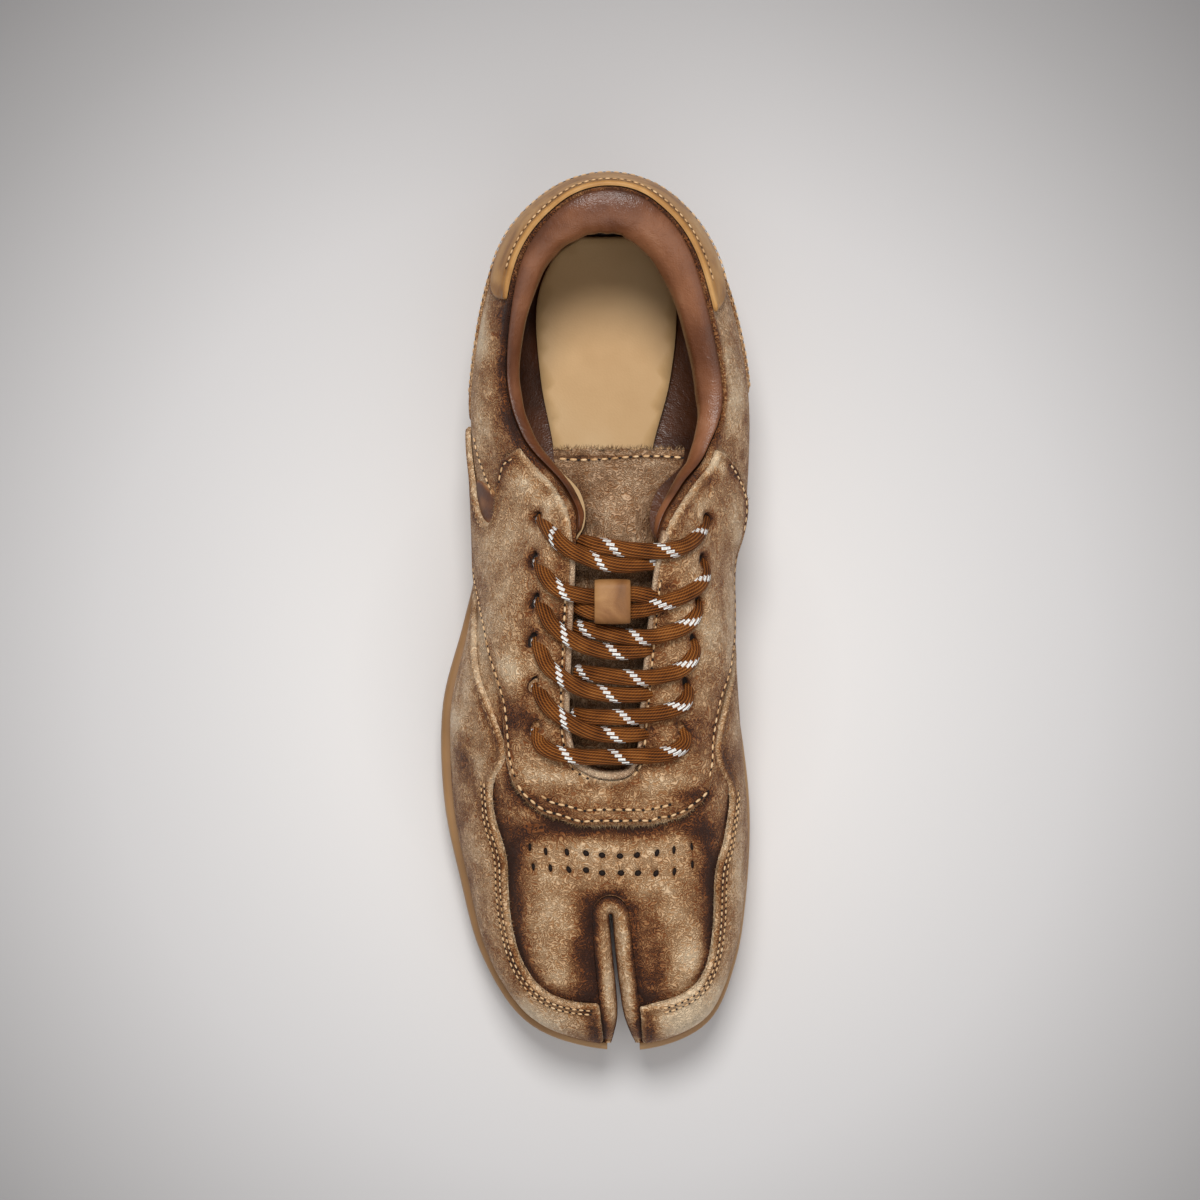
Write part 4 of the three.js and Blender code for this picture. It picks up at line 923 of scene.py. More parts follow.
def leather(name, dark, middle, pale, roughness):
    """Smooth tan leather: fine pores, slow mottling and a soft polish, lightened and darkened by the shade
    attribute's painted light and shade.
    """
    made, tree, shader = material(name, roughness, Specular_IOR_Level=0.35)
    place = add(tree, "ShaderNodeTexCoord").outputs["Object"]
    shade = add(tree, "ShaderNodeAttribute", attribute_name="shade").outputs["Fac"]
    cloud = add(tree, "ShaderNodeTexNoise", {"Vector": place, "Scale": 70, "Detail": 6,
                                             "Distortion": 0.7}).outputs["Fac"]
    pores = add(tree, "ShaderNodeTexVoronoi", {"Vector": place, "Scale": 1700}).outputs["Distance"]
    lines = add(tree, "ShaderNodeTexNoise", {"Vector": place, "Scale": 380, "Detail": 5,
                                             "Distortion": 2}).outputs["Fac"]
    tone = add(tree, "ShaderNodeMath", {0: shade, 1: 0.3, 2: cloud},
               operation="MULTIPLY_ADD").outputs["Value"]
    tree.links.new(ramp(tree, tone, (0.1, "#4c2c12"), (0.38, dark), (0.55, middle), (0.75, pale)),
                   shader.inputs["Base Color"])
    height = add(tree, "ShaderNodeMath", {0: pores, 1: 0.5, 2: lines},
                 operation="MULTIPLY_ADD").outputs["Value"]
    tree.links.new(add(tree, "ShaderNodeBump", {"Height": height, "Strength": 0.22,
                                                "Distance": 0.0003}).outputs[0],
                   shader.inputs["Normal"])
    return made


tan_leather = leather("tan_leather", "#9a6936", "#bd8b50", "#d6aa70", 0.5)
HEEL_TAB = np.array([(22.58, 0.99), (22.6, 0.86), (22.68, 0.72), (22.9, 0.58), (23.3, 0.46), (24.1, 0.39),
                     (25, 0.37),
                     (25.9, 0.39), (26.7, 0.46), (27.1, 0.58), (27.3, 0.72), (27.36, 0.86), (27.38, 0.99)])
top_edge = np.c_[np.linspace(27.2, 22.8, 50), np.full(50, 0.99)]
heel_tab, tab_loop = panel("heel_tab_leather", np.vstack([rounded(HEEL_TAB, 2, False), top_edge]), 0.4, 1.9,
                           tan_leather,
                           "tan_leather", ["heel_tab"], stitched=(1.4,), puff=0.5, lit=0.1, groove_shade_and_burnish=0.25)

# Eyestay: the top layer of suede, one U round the throat that runs on as the outer side panel.
# Its edge is raw and frayed in front and at the rear corners, with punched eyelets and no metal.
EYELETS = spots_on_last([
    (541, 519), (537, 560), (537, 600), (534, 639), (535, 683), (536, 727),
    (702, 519), (698, 561), (694, 602), (690, 640), (684, 684), (680, 728),
])
BIG = np.linspace(0, 2 * math.pi, 19)[:-1]
holes = []
for spot in EYELETS:
    across = np.linalg.norm(last(spot[0] + 0.1, spot[1]) - last(spot[0] - 0.1, spot[1])) / 0.2
    tall = np.linalg.norm(last(spot[0], spot[1] + 0.02) - last(spot[0], spot[1] - 0.02)) / 0.04
    holes.append(spot + 2.3 * np.c_[np.cos(BIG) / across, np.sin(BIG) / tall])
loop = np.vstack([rounded(EYESTAY, 2, False), np.c_[np.linspace(21.1, 4.15, 240), np.full(240, 0.985)]])
eyestay, eyestay_loop = panel("eyestay_suede", loop, 0.3, 1.75, vamp_suede, "suede", ["eyestay"], holes=holes,
                              hole_finish=punched, stitched=(2.0,), ragged=0.12, gap=1.35,
                              puff=0.5, rolled=0.3)

# Outer notch: the satin leather strip that shows between the eyestay's rear corner and the side panel.
notch_leather = leather("notch_leather", "#5c2f10", "#8f5827", "#cf9f6c", 0.5)
NOTCH = np.array([(3.9, 0.4), (4.3, 0.42), (4.7, 0.5), (4.8, 0.6), (4.7, 0.68), (4.45, 0.72), (4.2, 0.66),
                  (4.0, 0.56)])
notch, _ = panel("notch_strip", rounded(NOTCH, 2), 0.02, 0.45, notch_leather, "lining_leather", gap=2,
                 puff=0.3)

# Collar: a foam roll bound in soft brown leather, sewn to the top line and turned down as a lining.
# It is full round the heel, thins towards the eyestay and creases a little along its run.
PAD = np.array([(2.4, 0.25), (3.2, 0.5), (5.5, 1), (8, 1), (10.5, 1), (11, 1), (10.5, 1), (7.5, 1), (5, 1),
                (4.2, 0.9),
                (3, 0.5), (2.4, 0.25)])
RING = np.array([(4, 0, 0, 0), (3, 0, 0, 0), (2, 0, 0, 0), (1, 0, 0, 0), (0, 0, 0.7, 0), (0, 0, 1.5, 2.1),
                 (0, 0.12, 2.7, 1.2),
                 (0, 0.35, 3.1, 0), (0, 0.7, 2.3, 0), (0, 0.98, 0, 0), (1, 1, 0, 0), (2, 0.7, 0, 0), (4,
                         0.24, 0, 0)])
share = np.linspace(0, 1, 220)
u = (share - 0.5) * 12
wide, reach = share_of(PAD, share).T
ring = spline(RING, np.linspace(0, len(RING), 49)[:-1], True)
levels, deep, rise, over = ring.T
v = 1 - np.clip(levels[None, :], 0, 4) * reach[:, None] / 7
full = np.minimum(1, wide / 6)[:, None]
offset = full * over[None, :] - (2.2 + 0.3 * (2.6 - reach[:, None]) + wide[:, None] * np.maximum(deep,
        0)[None, :])
crease = 0.22 * np.sin(u[:, None] * 9 + deep[None, :] * 4) * np.sin(u[:, None] * 2.7 + 1) * (deep[None,
        :] > 0.2)
base = last(u[:, None] % TURN, v) + last_normal(u[:, None] % TURN, v) * (offset + crease)[..., None]
up = last(u % TURN, 1.0) - last(u % TURN, 0.98)
up /= np.linalg.norm(up, axis=1, keepdims=True)
lift = full * np.maximum(rise, 0)[None, :]
grid = base + up[:, None, :] * lift[..., None]
n = grid.shape[1]
faces = [f for i in range(len(share) - 1) for f in band(i * n, (i + 1) * n, n)]
faces += [tuple(range(n)), tuple((len(share) - 1) * n + np.arange(n))]
# Painted highlight along the crown of the roll and painted shade down both its sides, deepening as they run
# down.
shade = np.broadcast_to(np.interp(deep, (0, 0.15, 0.5, 0.9, 1), (-0.4, 0.15, 0.3, 0.0, -0.3))[None, :],
                        grid.shape[:2]) \
    - 0.9 * (np.maximum(levels - 0.6, 0) / 3)[None, :] * (deep < 0.99)[None, :]
collar = shaped("collar_roll", grid.reshape(-1, 3), faces, lining_leather, "lining_leather", ["collar"],
                shade=shade.ravel())
outward_faces(collar)

# Tongue: a curved sheet of the same suede under the throat, with a raw frayed top edge.
TONGUE = np.array([
    (-0.192, 0.032, 0.715, 0.16, 0.05, 2), (-0.15, 0.033, 0.755, 0.17, 0.07, 2.5), (-0.075, 0.04, 0.83,
            0.175, 0.09, 3),
    (0, 0.05, 0.9, 0.175, 0.1, 3), (0.06, 0.06, 0.945, 0.155, 0.11, 3), (0.1, 0.067, 0.985, 0.1, 0.1, 2.6),
    (0.135, 0.07, 1.04, 0.115, 0.05, 2.2), (0.162, 0.071, 1.115, 0.185, 0.02, 1.8), (0.18, 0.071, 1.18,
            0.195, 0.02, 1.8),
]) * np.array([LENGTH, WIDTH, 88, WIDTH, 88, 1])


def on_tongue(share, a, under=0.0):
    y, x, up, half, drop, thick = np.moveaxis(share_of(TONGUE, share), -1, 0)
    wave = 0.35 * np.sin(y / 7 + a * 2) * np.cos(a * 4)
    return np.stack([x + a * half, y + 0 * a, up - drop * a * a + wave - under * thick], -1)


tongue_suede = suede("tongue_suede", "#82522c", "#ab7f57", "#d6af8b", "#3f2110")
share, a = np.linspace(0, 1, 110), np.sin(np.linspace(-1, 1, 44) * math.pi / 2)
wild = np.random.default_rng(7)
front = on_tongue(share[:, None], a[None, :])
back = on_tongue(share[:, None], a[None, :], 1.0)
fray = wild.uniform(-0.7, 0.5, len(a)) + 0.8 * np.sin(a * 7 + 0.6) * np.sin(a * 17)
front[-1, :, 1] += fray
back[-1, :, 1] += fray
n = len(a)
points = np.vstack([front.reshape(-1, 3), back.reshape(-1, 3)])
shift = len(share) * n
faces = sheet(len(share), n, True)
faces += [tuple(k + shift for k in f[::-1]) for f in faces]
ring = [*range(n), *[i * n + n - 1 for i in range(1, len(share))], *[shift - 1 - j for j in range(1, n)],
        *[i * n for i in range(len(share) - 2, 0, -1)]]
faces += [(ring[j], ring[(j + 1) % len(ring)], ring[(j + 1) % len(ring)] + shift, ring[j] + shift)
          for j in range(len(ring))]
# Painted shade: darker low on the tongue under the laces and towards its edges where they run under the
# eyestay, with a dark line along the stitch row below the top.
bottom = np.clip((0.78 - share) * 6, 0, 1)[:, None] * 0.25
shade = 0.25 - bottom - 0.7 * np.exp(-(((share[:, None] - 0.93) / 0.012) ** 2)) - 0.5 * np.abs(a[None,
        :]) ** 6
shade = np.tile((shade + 0 * a[None, :]).ravel(), 2)
tongue = shaped("tongue_sheet", points, faces, tongue_suede, "suede", ["tongue"], shade=shade)
outward_faces(tongue)

# Lace keeper: a loop of smooth tan leather on the tongue, which the second row of laces passes through.
foot = on_tongue(np.array(0.405), np.array(0.0))
slope = on_tongue(np.array(0.435), np.array(0.0)) - on_tongue(np.array(0.375), np.array(0.0))
top = foot[2] + 12
corners = []
for y, z, r in ((-6.4, foot[2] - 6.4 * slope[2] / slope[1] + 0.6, 0), (-6.4, top, 2.6), (6.4, top, 2.6),
                (6.4, foot[2] + 6.4 * slope[2] / slope[1] + 0.6, 0)):
    if not r:
        corners.append((y, z))
        continue
    for t in np.linspace(0, math.pi / 2, 7):
        corners.append((y - math.copysign(r, y) + math.copysign(r * (math.cos(t) if y < 0 else math.sin(t)),
                                                                y),
                        z - r + r * (math.sin(t) if y < 0 else math.cos(t))))
outer = np.array(corners)
run = np.gradient(outer, axis=0)
run /= np.linalg.norm(run, axis=1, keepdims=True)
normal = np.c_[-run[:, 1], run[:, 0]]
rows = []
for x, depth in ((-5.25, 0.25), (-5.25, 0.85), (-4.95, 1.1), (4.95, 1.1), (5.25, 0.85), (5.25, 0.25),
                 (4.95, 0.0),
                 (3.3, -0.12), (0, -0.2), (-3.3, -0.12), (-4.95, 0.0)):
    yz = outer - normal * depth
    rows.append(np.c_[foot[0] + x + 0 * yz[:, 0], foot[1] + yz[:, 0], yz[:, 1]])
n = len(outer)
faces = [(i * n + j, i * n + j + 1, (i + 1) % len(rows) * n + j + 1, (i + 1) % len(rows) * n + j)
         for i in range(len(rows)) for j in range(n - 1)]
faces += [tuple(i * n for i in range(len(rows))), tuple(i * n + n - 1 for i in range(len(rows)))]
keeper_leather = leather("keeper_leather", "#8a5c32", "#a87a4a", "#c39564", 0.55)
keeper = shaped("lace_keeper_loop", np.vstack(rows), faces, keeper_leather, "tan_leather", ["lace_keeper"],
                shade=np.zeros(len(rows) * n))
outward_faces(keeper)

# Laces: round braided cord in orange brown with white flecks, six rows, each of two strands but the lowest.
# Each strand leaves its punched eyelet, crosses the throat and dives under the far edge.
LACE_WIDE, LACE_TALL = 4.7, 4.2
u = np.linspace(6.0, 12.4, 120)
left_edge, right_edge = last(u, 1.0), last(np.linspace(19.2, 12.7, 120), 1.0)


def deck(spots):
    """Height in mm of the surface that a lace lies on at places of the picture."""
    spots = np.asarray(spots, float)
    a, b = picture(left_edge), picture(right_edge)
    xa, za = (np.interp(spots[:, 1], a[:, 1], k) for k in (a[:, 0], left_edge[:, 2]))
    xb, zb = (np.interp(spots[:, 1], b[:, 1], k) for k in (b[:, 0], right_edge[:, 2]))
    f = np.clip((spots[:, 0] - xa) / (xb - xa), 0, 1)
    bridge = za + (zb - za) * f
    found = spots_on_last(spots)
    held = last(found[:, 0], found[:, 1])[:, 2]
    side = np.maximum(xa - spots[:, 0], spots[:, 0] - xb)
    return np.where(side > 1, held, bridge)


def strand(spots, ends):
    """Centre line in mm through places of the picture; ends are heights added at its first and
    last points."""
    spots = np.asarray(spots, float)
    z = deck(spots) + 1.8 + LACE_TALL / 2
    z[:len(ends[0])] += ends[0]
    z[len(z) - len(ends[1]):] += ends[1]
    scale = PIXEL * (1 - z / LENS_HEIGHT)
    line = np.c_[(spots[:, 0] - 600) * scale + EYE[0], (600 - spots[:, 1]) * scale + EYE[1], z] - SHIFT
    fine = spline(line, np.linspace(0, len(line) - 1, 240), False)
    run = np.r_[0, np.cumsum(np.linalg.norm(np.diff(fine, axis=0), axis=1))]
    steps = np.linspace(0, run[-1], int(run[-1] / 0.55))
    for _ in range(2):
        fine[1:-1] = (fine[:-2] + 2 * fine[1:-1] + fine[2:]) / 4
    return np.stack([np.interp(steps, run, fine[:, k]) for k in range(3)], -1), steps


def cord_mesh(strands, sides=18):
    """Points, faces and UVs of closed tubes; UV is the length in mm and the share round the cord."""
    points, faces, uvs = [], [], []
    for k, (line, steps) in enumerate(strands):
        run = np.gradient(line, axis=0)
        run /= np.linalg.norm(run, axis=1, keepdims=True)
        side = np.cross(run, (0, 0, 1.0))
        side /= np.linalg.norm(side, axis=1, keepdims=True)
        over = np.cross(side, run)
        start, m = sum(map(len, points)), len(line)
        for j in range(sides):
            t = 2 * math.pi * j / sides
            points.append(line + side * LACE_WIDE / 2 * math.cos(t) + over * LACE_TALL / 2 * math.sin(t))
        for j in range(sides):
            a, b = start + j * m, start + (j + 1) % sides * m
            for i in range(m - 1):
                faces.append((a + i, a + i + 1, b + i + 1, b + i))
                s0, s1, r0, r1 = steps[i] + k * 5, steps[i + 1] + k * 5, j / sides, (j + 1) / sides
                uvs.append([(s0, r0), (s1, r0), (s1, r1), (s0, r1)])
        for i in (0, m - 1):
            faces.append(tuple(start + j * m + i for j in range(sides)))
            uvs.append([(steps[i], j / sides) for j in range(sides)])
    return np.vstack(points), faces, uvs


# Braided cord: fine ribs along the cord crossed by short picks, with painted shade in the gaps, and white
# tracer dashes that step round it. X runs along the cord in mm, Y once round it.
RIBS, CELLS = 15, 12
lace_cord, tree, shader = material("lace_cord", 0.75, Specular_IOR_Level=0.2)
uv = add(tree, "ShaderNodeUVMap", uv_map="lace").outputs["UV"]
place = add(tree, "ShaderNodeTexCoord").outputs["Object"]
along_round = add(tree, "ShaderNodeSeparateXYZ", {0: uv}).outputs
made = {
    "run": along_round["X"],
    "turn": along_round["Y"],
    "dirt": add(tree, "ShaderNodeTexNoise", {"Vector": place, "Scale": 160, "Detail": 3}).outputs["Fac"],
}
for name, operation, *values in (
        ("slope", "MULTIPLY", "run", 0.7), ("ribs", "MULTIPLY_ADD", "turn", 2 * math.pi * RIBS, "slope"),
        ("ribs", "SINE", "ribs"), ("slope", "MULTIPLY", "run", 6.5),
        ("picks", "MULTIPLY_ADD", "turn", -2 * math.pi * RIBS, "slope"), ("picks", "SINE", "picks"),
        ("braid", "MULTIPLY_ADD", "picks", 0.45, "ribs"), ("cells", "MULTIPLY", "turn", CELLS),
        ("cell", "FLOOR", "cells"), ("phase", "DIVIDE", "run", 15.8),
        ("phase", "MULTIPLY_ADD", "cell", 0.068, "phase"), ("phase", "FRACT", "phase"),
        ("within", "FRACT", "cells"), ("long", "LESS_THAN", "phase", 0.14),
        ("wide", "LESS_THAN", "within", 0.74), ("dash", "MULTIPLY", "long", "wide"),
        ("weave", "MULTIPLY_ADD", "braid", 0.15, 0.14), ("tone", "MULTIPLY_ADD", "dirt", 0.5, "weave")):
    values = [made[v] if isinstance(v, str) else v for v in values]
    made[name] = add(tree, "ShaderNodeMath", dict(enumerate(values)), operation=operation).outputs[0]
# Low parts of the braid take the dark stops: painted shade in the gaps.
brown = ramp(tree, made["tone"], (0.1, "#241004"), (0.32, "#6a3812"), (0.5, "#94561f"), (0.75, "#bb7d42"))
mix = add(tree, "ShaderNodeMix", {0: made["dash"], 6: brown, 7: linear("#fffdf8")}, data_type="RGBA")
tree.links.new(mix.outputs[2], shader.inputs["Base Color"])
tree.links.new(add(tree, "ShaderNodeBump", {"Height": made["braid"], "Strength": 0.8,
                                            "Distance": 0.0003}).outputs[0],
               shader.inputs["Normal"])

OUT = (-5.5, -1.6, 0.0)
DIVE = (0.0, -1.2, -5.5)
LACES = [
    [[(543, 519), (548, 528), (558, 541), (570, 550), (583, 556), (600, 562), (620, 565), (640, 564),
      (658, 561)],
     [(702, 519), (700, 530), (692, 541), (680, 548), (665, 551), (650, 551), (630, 550), (610, 547),
      (595, 545), (582, 542)]],
    [[(540, 561), (545, 575), (553, 585), (565, 592), (580, 595), (597, 597), (615, 596), (633, 594),
      (650, 596), (660, 597)],
     [(701, 562), (703, 575), (698, 586), (685, 595), (670, 601), (655, 606), (640, 610), (615, 613),
      (597, 613), (585, 609),
      (577, 605)]],
    [[(541, 601), (545, 612), (550, 622), (560, 632), (572, 640), (585, 646), (600, 650), (620, 652),
      (640, 650), (654, 647)],
     [(695, 603), (695, 612), (690, 622), (680, 629), (665, 634), (650, 637), (630, 637), (610, 634),
      (590, 630), (577, 627)]],
    [[(538, 640), (541, 652), (547, 665), (558, 675), (570, 683), (585, 690), (600, 693), (620, 695),
      (640, 694), (653, 691)],
     [(691, 641), (693, 652), (688, 663), (678, 671), (660, 676), (640, 678), (620, 677), (600, 675),
      (577, 672)]],
    [[(538, 685), (542, 697), (548, 706), (558, 715), (570, 723), (585, 730), (600, 734), (620, 735),
      (636, 734), (650, 731)],
     [(686, 686), (686, 698), (680, 706), (665, 712), (650, 715), (630, 717), (610, 717), (590, 717),
      (575, 715)]],
    [[(538, 729), (540, 743), (550, 751), (565, 755), (585, 757), (600, 757), (620, 757), (640, 756),
      (660, 755), (675, 751),
      (684, 742), (682, 729)]],
]
for number, row in enumerate(LACES, 1):
    strands = [strand(spots, (OUT, DIVE if len(row) > 1 else OUT[::-1])) for spots in row]
    if number == 2:
        for line, _ in strands:
            line[:, 2] -= 1.4 * np.exp(-(((line[:, 0] - foot[0]) / 9) ** 2))
    points, faces, uvs = cord_mesh(strands)
    lace = shaped(f"lace_{number}", points, faces, lace_cord, "lace_cord", [f"lace_row_{number}"])
    layer = lace.data.uv_layers.new(name="lace")
    layer.data.foreach_set("uv", np.array([p for face in uvs for p in face], np.float32).ravel())
    outward_faces(lace)

# Stitches, fray and edge binding.
# Waxed tan thread in rows along the edges; each stitch meets a needle hole at both ends, a flat near-black
# disc of painted shade.
thread, tree, shader = material("waxed_thread", 0.55)
place = add(tree, "ShaderNodeTexCoord").outputs["Object"]
cloud = add(tree, "ShaderNodeTexNoise", {"Vector": place, "Scale": 300, "Detail": 3}).outputs["Fac"]
tree.links.new(ramp(tree, cloud, (0.3, "#b98d5c"), (0.5, "#dcb484"), (0.75, "#eed0a6")),
               shader.inputs["Base Color"])


def scatter_tree(name, finish, round_shape):
    """Geometry nodes that put one small shape on each point, turned by its run and out vectors."""
    tree = bpy.data.node_groups.new(name, "GeometryNodeTree")
    tree.interface.new_socket("Points", in_out="INPUT", socket_type="NodeSocketGeometry")
    tree.interface.new_socket("Size", in_out="INPUT", socket_type="NodeSocketVector")
    tree.interface.new_socket("Shapes", in_out="OUTPUT", socket_type="NodeSocketGeometry")
    given, done = add(tree, "NodeGroupInput"), add(tree, "NodeGroupOutput")
    if round_shape:
        shape = add(tree, "GeometryNodeMeshUVSphere", {"Segments": 8, "Rings": 5,
                                                       "Radius": 0.5}).outputs["Mesh"]
    else:
        shape = add(tree, "GeometryNodeMeshCone", {"Vertices": 3, "Radius Top": 0.0, "Radius Bottom": 0.5,
                                                   "Depth": 1.0},
                    fill_type="NONE").outputs["Mesh"]
    sized = add(tree, "GeometryNodeTransform", {"Geometry": shape,
                                                "Scale": given.outputs["Size"]}).outputs["Geometry"]
    run, out, grow = (add(tree, "GeometryNodeInputNamedAttribute", {"Name": key},
                          data_type=kind).outputs["Attribute"]
                      for key, kind in (("run", "FLOAT_VECTOR"), ("out", "FLOAT_VECTOR"), ("grow", "FLOAT")))
    turn = add(tree, "FunctionNodeAxesToRotation", {"Primary Axis": run, "Secondary Axis": out},
               primary_axis="X" if round_shape else "Z",
               secondary_axis="Z" if round_shape else "X").outputs["Rotation"]
    put = add(tree, "GeometryNodeInstanceOnPoints", {"Points": given.outputs["Points"], "Instance": sized,
                                                     "Rotation": turn, "Scale": grow}).outputs["Instances"]
    real = add(tree, "GeometryNodeRealizeInstances", {"Geometry": put}).outputs["Geometry"]
    soft = add(tree, "GeometryNodeSetShadeSmooth", {"Geometry": real}).outputs["Geometry"]
    painted = add(tree, "GeometryNodeSetMaterial", {"Geometry": soft, "Material": finish}).outputs["Geometry"]
    tree.links.new(painted, done.inputs["Shapes"])
    return tree


def scatter(name, tree, size, places, runs, outs, grow):
    """Runs the tree on these points and keeps its result as a plain mesh."""
    mesh = bpy.data.meshes.new(name)
    mesh.from_pydata(((places + SHIFT) / 1000).tolist(), [], [])
    for key, values in (("run", runs), ("out", outs)):
        mesh.attributes.new(key, "FLOAT_VECTOR", "POINT").data.foreach_set("vector",
                values.astype(np.float32).ravel())
    mesh.attributes.new("grow", "FLOAT", "POINT").data.foreach_set("value", np.asarray(grow, np.float32))
    made = bpy.data.objects.new(name, mesh)
    bpy.context.scene.collection.objects.link(made)
    nodes = made.modifiers.new("scatter", "NODES")
    nodes.node_group = tree
    socket = next(s for s in tree.interface.items_tree if s.name == "Size")
    nodes[socket.identifier] = [s / 1000 for s in size]
    bpy.context.view_layer.update()
    made.data = bpy.data.meshes.new_from_object(made.evaluated_get(bpy.context.evaluated_depsgraph_get()))
    made.modifiers.clear()
    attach(made, "root")
    return made


def part_of(loop, first, past, distance):
    """The part of a panel's edge between two points of the picture, moved inwards."""
    moved = sideways(loop, distance)
    moved = sum(np.roll(moved, k, 0) for k in range(-4, 5)) / 9
    seen = picture(last(*loop.T))
    a = int(np.argmin(((seen - first) ** 2).sum(1)))
    b = int(np.argmin(((seen - past) ** 2).sum(1)))
    order = np.arange(a, b + 1) if a <= b else np.arange(a, b + len(loop) + 1) % len(loop)
    back = np.arange(b, a + 1) if b <= a else np.arange(b, a + len(loop) + 1) % len(loop)
    return moved[order if len(order) < len(back) else back]


def stitch_points(line, offset, pitch, turned=0.0):
    """Places, runs and outs of stitches along a line of u and v."""
    path = on_last(*line.T, offset)
    run = np.r_[0, np.cumsum(np.linalg.norm(np.diff(path, axis=0), axis=1))]
    steps = np.arange(pitch / 2, run[-1], pitch)
    spots = np.stack([np.interp(steps, run, line[:, k]) for k in range(2)], -1)
    places = np.stack([np.interp(steps, run, path[:, k]) for k in range(3)], -1)
    ahead = np.stack([np.interp(steps + 0.4, run, path[:, k]) for k in range(3)], -1)
    runs = ahead - places
    outs = last_normal(*spots.T)
    runs = runs + turned * np.cross(outs, runs)
    return places, runs / (np.linalg.norm(runs, axis=1, keepdims=True) + 1e-9), outs


def inwards(u, distance):
    """v at a distance in mm below the top line."""
    return 1 - distance / (np.linalg.norm(last(u, 1.0) - last(u, 0.97), axis=-1) / 0.03)


ROWS = [
    (part_of(eyestay_loop, (497, 478), (512, 447), 1.9), 1.85, 2.6), (part_of(eyestay_loop, (473, 500),
            (486, 524), 1.9), 1.85, 2.6),
    (part_of(eyestay_loop, (472, 570), (508, 779), 1.9), 1.85, 2.7), (part_of(eyestay_loop, (713, 779),
            (736, 554), 1.9), 1.85, 2.7),
    (part_of(eyestay_loop, (735, 530), (728, 455), 1.9), 1.85, 2.6), (part_of(outer_loop, (463, 600),
            (502, 735), 1.7), 1.4, 2.4),
    (spots_on_last([(474, 436), (477, 452), (483, 470), (489, 484), (493, 494)]), 0.35, 2.4),
]
front_rows = along(front_edge[front_edge[:, 0] > 8.3], 1)
ROWS.append((sideways(front_rows, 1.9, False), 2.15, 2.9))
front_rows = front_rows[(front_rows[:, 0] > 8.9) & (front_rows[:, 0] < 15.7)]
ROWS.append((sideways(front_rows, 5.4, False), 2.35, 2.9))
ends = [line[np.abs(line[:, 1] - 0.37).argmin(), 0] for line in (left, right)]
for line in (apron_outer[apron_outer[:, 0] < ends[0] - 0.1], apron_inner[apron_inner[:, 0] > ends[1] + 0.1]):
    for distance in (1.7, 3.3):
        ROWS.append((sideways(along(line, 1), -distance, False), 1.95, 2.1))
tab_low = np.c_[np.linspace(22.8, 27.15, 120), np.interp(np.linspace(22.8, 27.15, 120), HEEL_TAB[:, 0],
                                                         HEEL_TAB[:, 1])]
ROWS.append((sideways(tab_low, 1.4, False), 2.2, 2.5))
ROWS.append((np.c_[np.linspace(22.8, 27.1, 120), np.full(120, 0.965)], 2.3, 2.1))
counter_top = np.c_[np.linspace(21.95, 28.05, 120), np.interp(np.linspace(21.95, 28.05, 120),
                                                              COUNTER[1:-1, 0], COUNTER[1:-1, 1])]
for part in (counter_top[:28], counter_top[-28:]):
    ROWS.append((sideways(part, -1.7, False), 0.95, 2.4))
for first, past in ((6.55, 10.3), (14.4, 18.6)):
    u = np.linspace(first, past, 200)
    ROWS.append((np.c_[u, inwards(u, 3.2)], 2.05, 2.7))
made = [stitch_points(line, offset, pitch) for line, offset, pitch in ROWS]
share = np.linspace(-0.86, 0.9, 12)
top_row = on_tongue(np.full(12, 0.925) + 0.012 * np.sin(share * 3), share) + (0, 0, 0.15)
runs = np.gradient(top_row, axis=0)
made.append((top_row, runs / np.linalg.norm(runs, axis=1, keepdims=True), np.tile([0, 0.2, 1.0], (12, 1))))
places, runs, outs = (np.vstack([m[k] for m in made]) for k in range(3))
wild = np.random.default_rng(3)
pitches = np.concatenate([np.full(len(m[0]), p) for m, p in zip(made, [*(row[2] for row in ROWS), 2.9])])
grow = wild.uniform(0.9, 1.1, len(places)) * pitches / 2.6
scatter("stitches", scatter_tree("stitch_rows", thread, True), (1.85, 0.72, 0.6), places, runs, outs, grow)
# Needle holes: flat near-black discs between the stitches, painted shade.
scatter("needle_holes", scatter_tree("needle_rows", punched, True), (0.95, 0.8, 0.2),
        places + runs * pitches[:, None] / 2,
        runs, outs, grow)

# Binding: the folded edge of the throat, a pale strip turned over the rim of the eyestay on both sides.
binding_suede = suede("binding_suede", "#8a5f40", "#b08a68", "#d2b090")
u = np.linspace(6.15, 19.1, 260)
profile = np.array([(2.2, 1.9), (2.0, 2.45), (1.2, 2.65), (0.35, 2.3), (0, 1.4), (0, 0.2), (0, -1.2),
                    (0.5, -2.0)])
grid = on_last(u[:, None], inwards(u[:, None], profile[None, :, 0]), profile[None, :, 1])
n = len(profile)
faces = sheet(len(u), n)
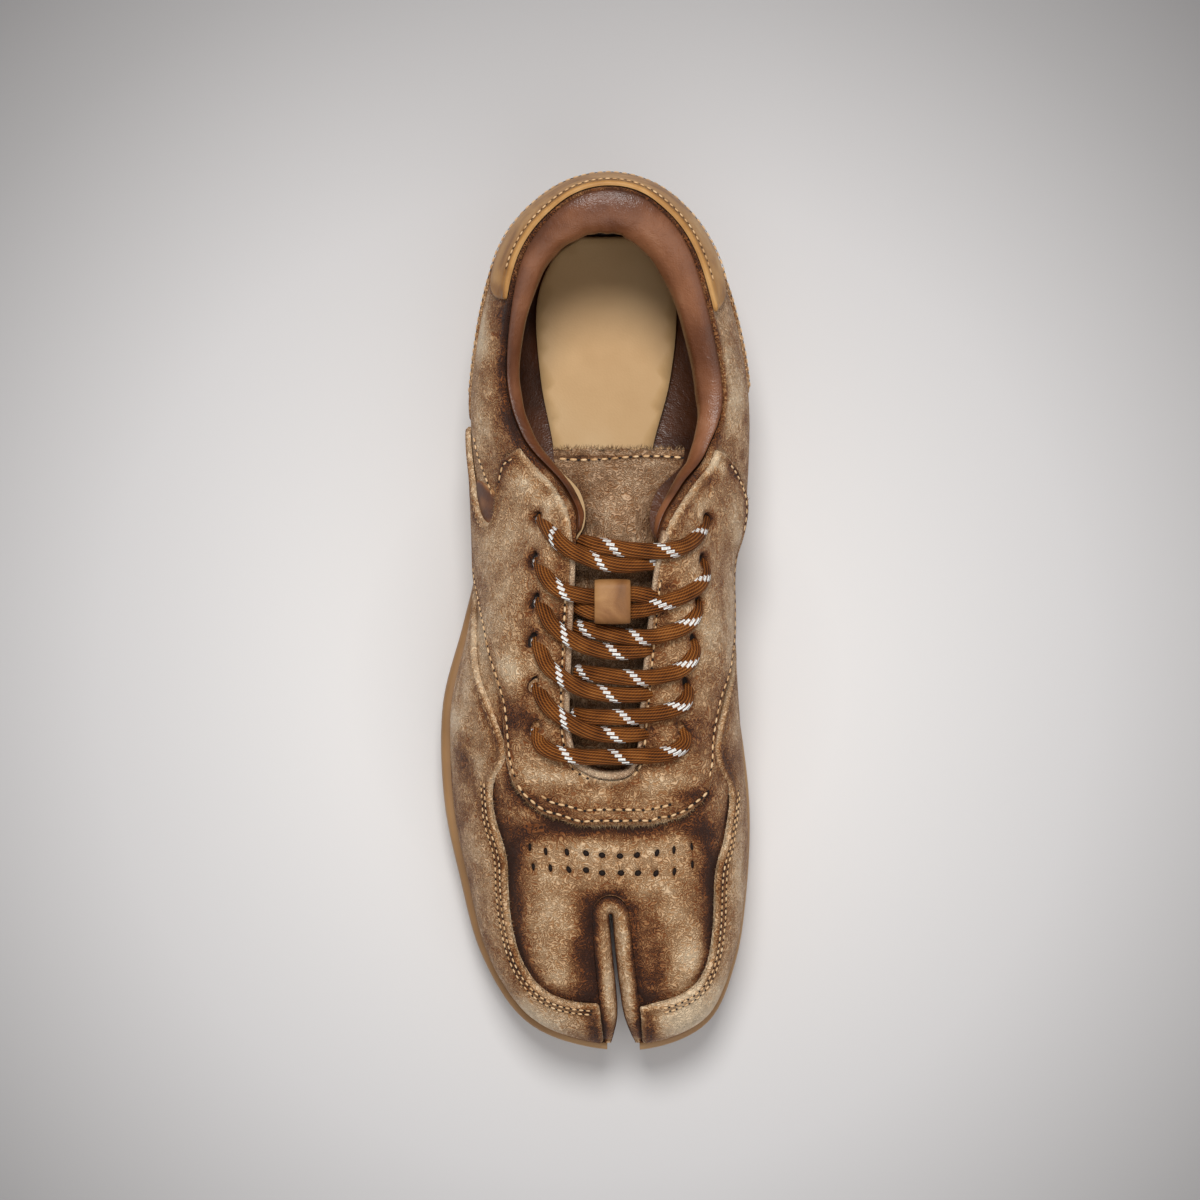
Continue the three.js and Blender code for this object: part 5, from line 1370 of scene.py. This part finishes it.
# Painted highlight on top of the fold, painted shade at its foot on the eyestay and where it turns down into
# the throat.
shade = np.tile([-0.9, 0.1, 0.4, 0.4, 0.1, -0.3, -0.8, -1.0], len(u))
binding = shaped("throat_binding", grid.reshape(-1, 3), faces, binding_suede, "suede", shade=shade)

# Fray: loose fibres on the raw edges of the eyestay and of the tongue's top.
fibre = suede("loose_fibre", "#8a6038", "#b98f5f", "#e0c096")
wild = np.random.default_rng(11)
lines = [(part_of(eyestay_loop, (519, 795), (707, 797), 0.1), 1.2, 420),
         (part_of(eyestay_loop, (510, 448), (494, 515), 0.1), 1.2, 90),
         (part_of(eyestay_loop, (712, 449), (741, 500), 0.1), 1.2, 90), (part_of(eyestay_loop, (508, 779),
                 (519, 795), 0.1), 1.2, 50),
         (part_of(outer_loop, (487, 790), (598, 1004), 0.1), 1.0, 200), (part_of(inner_loop, (644, 1004),
                 (733, 790), 0.1), 1.0, 200)]
places, runs, outs = [], [], []
for line, offset, many in lines:
    pick = np.sort(wild.uniform(0, len(line) - 1.001, many))
    spots = np.stack([np.interp(pick, np.arange(len(line)), line[:, k]) for k in range(2)], -1)
    side = np.stack([np.interp(pick, np.arange(len(line)), (line - sideways(line, 1.0, False))[:, k])
                     for k in range(2)], -1)
    here, there = on_last(*spots.T, offset), on_last(*(spots + side * 1.0).T, offset)
    away = there - here + wild.normal(0, 0.5, here.shape)
    places.append(here)
    runs.append(away)
    outs.append(last_normal(*spots.T))
share = wild.uniform(-1, 1, 260)
edge = on_tongue(np.full(260, 0.995), share)
places.append(edge)
runs.append(np.c_[wild.normal(0, 0.5, 260), np.ones(260), wild.normal(0.1, 0.4, 260)])
outs.append(np.tile([0.0, 0, 1], (260, 1)))
places, runs, outs = np.vstack(places), np.vstack(runs), np.vstack(outs)
runs /= np.linalg.norm(runs, axis=1, keepdims=True)
scatter("edge_fray", scatter_tree("fray_rows", fibre, False), (0.2, 0.2, 1.5), places, runs, outs,
        wild.uniform(0.5, 1.3, len(places)))
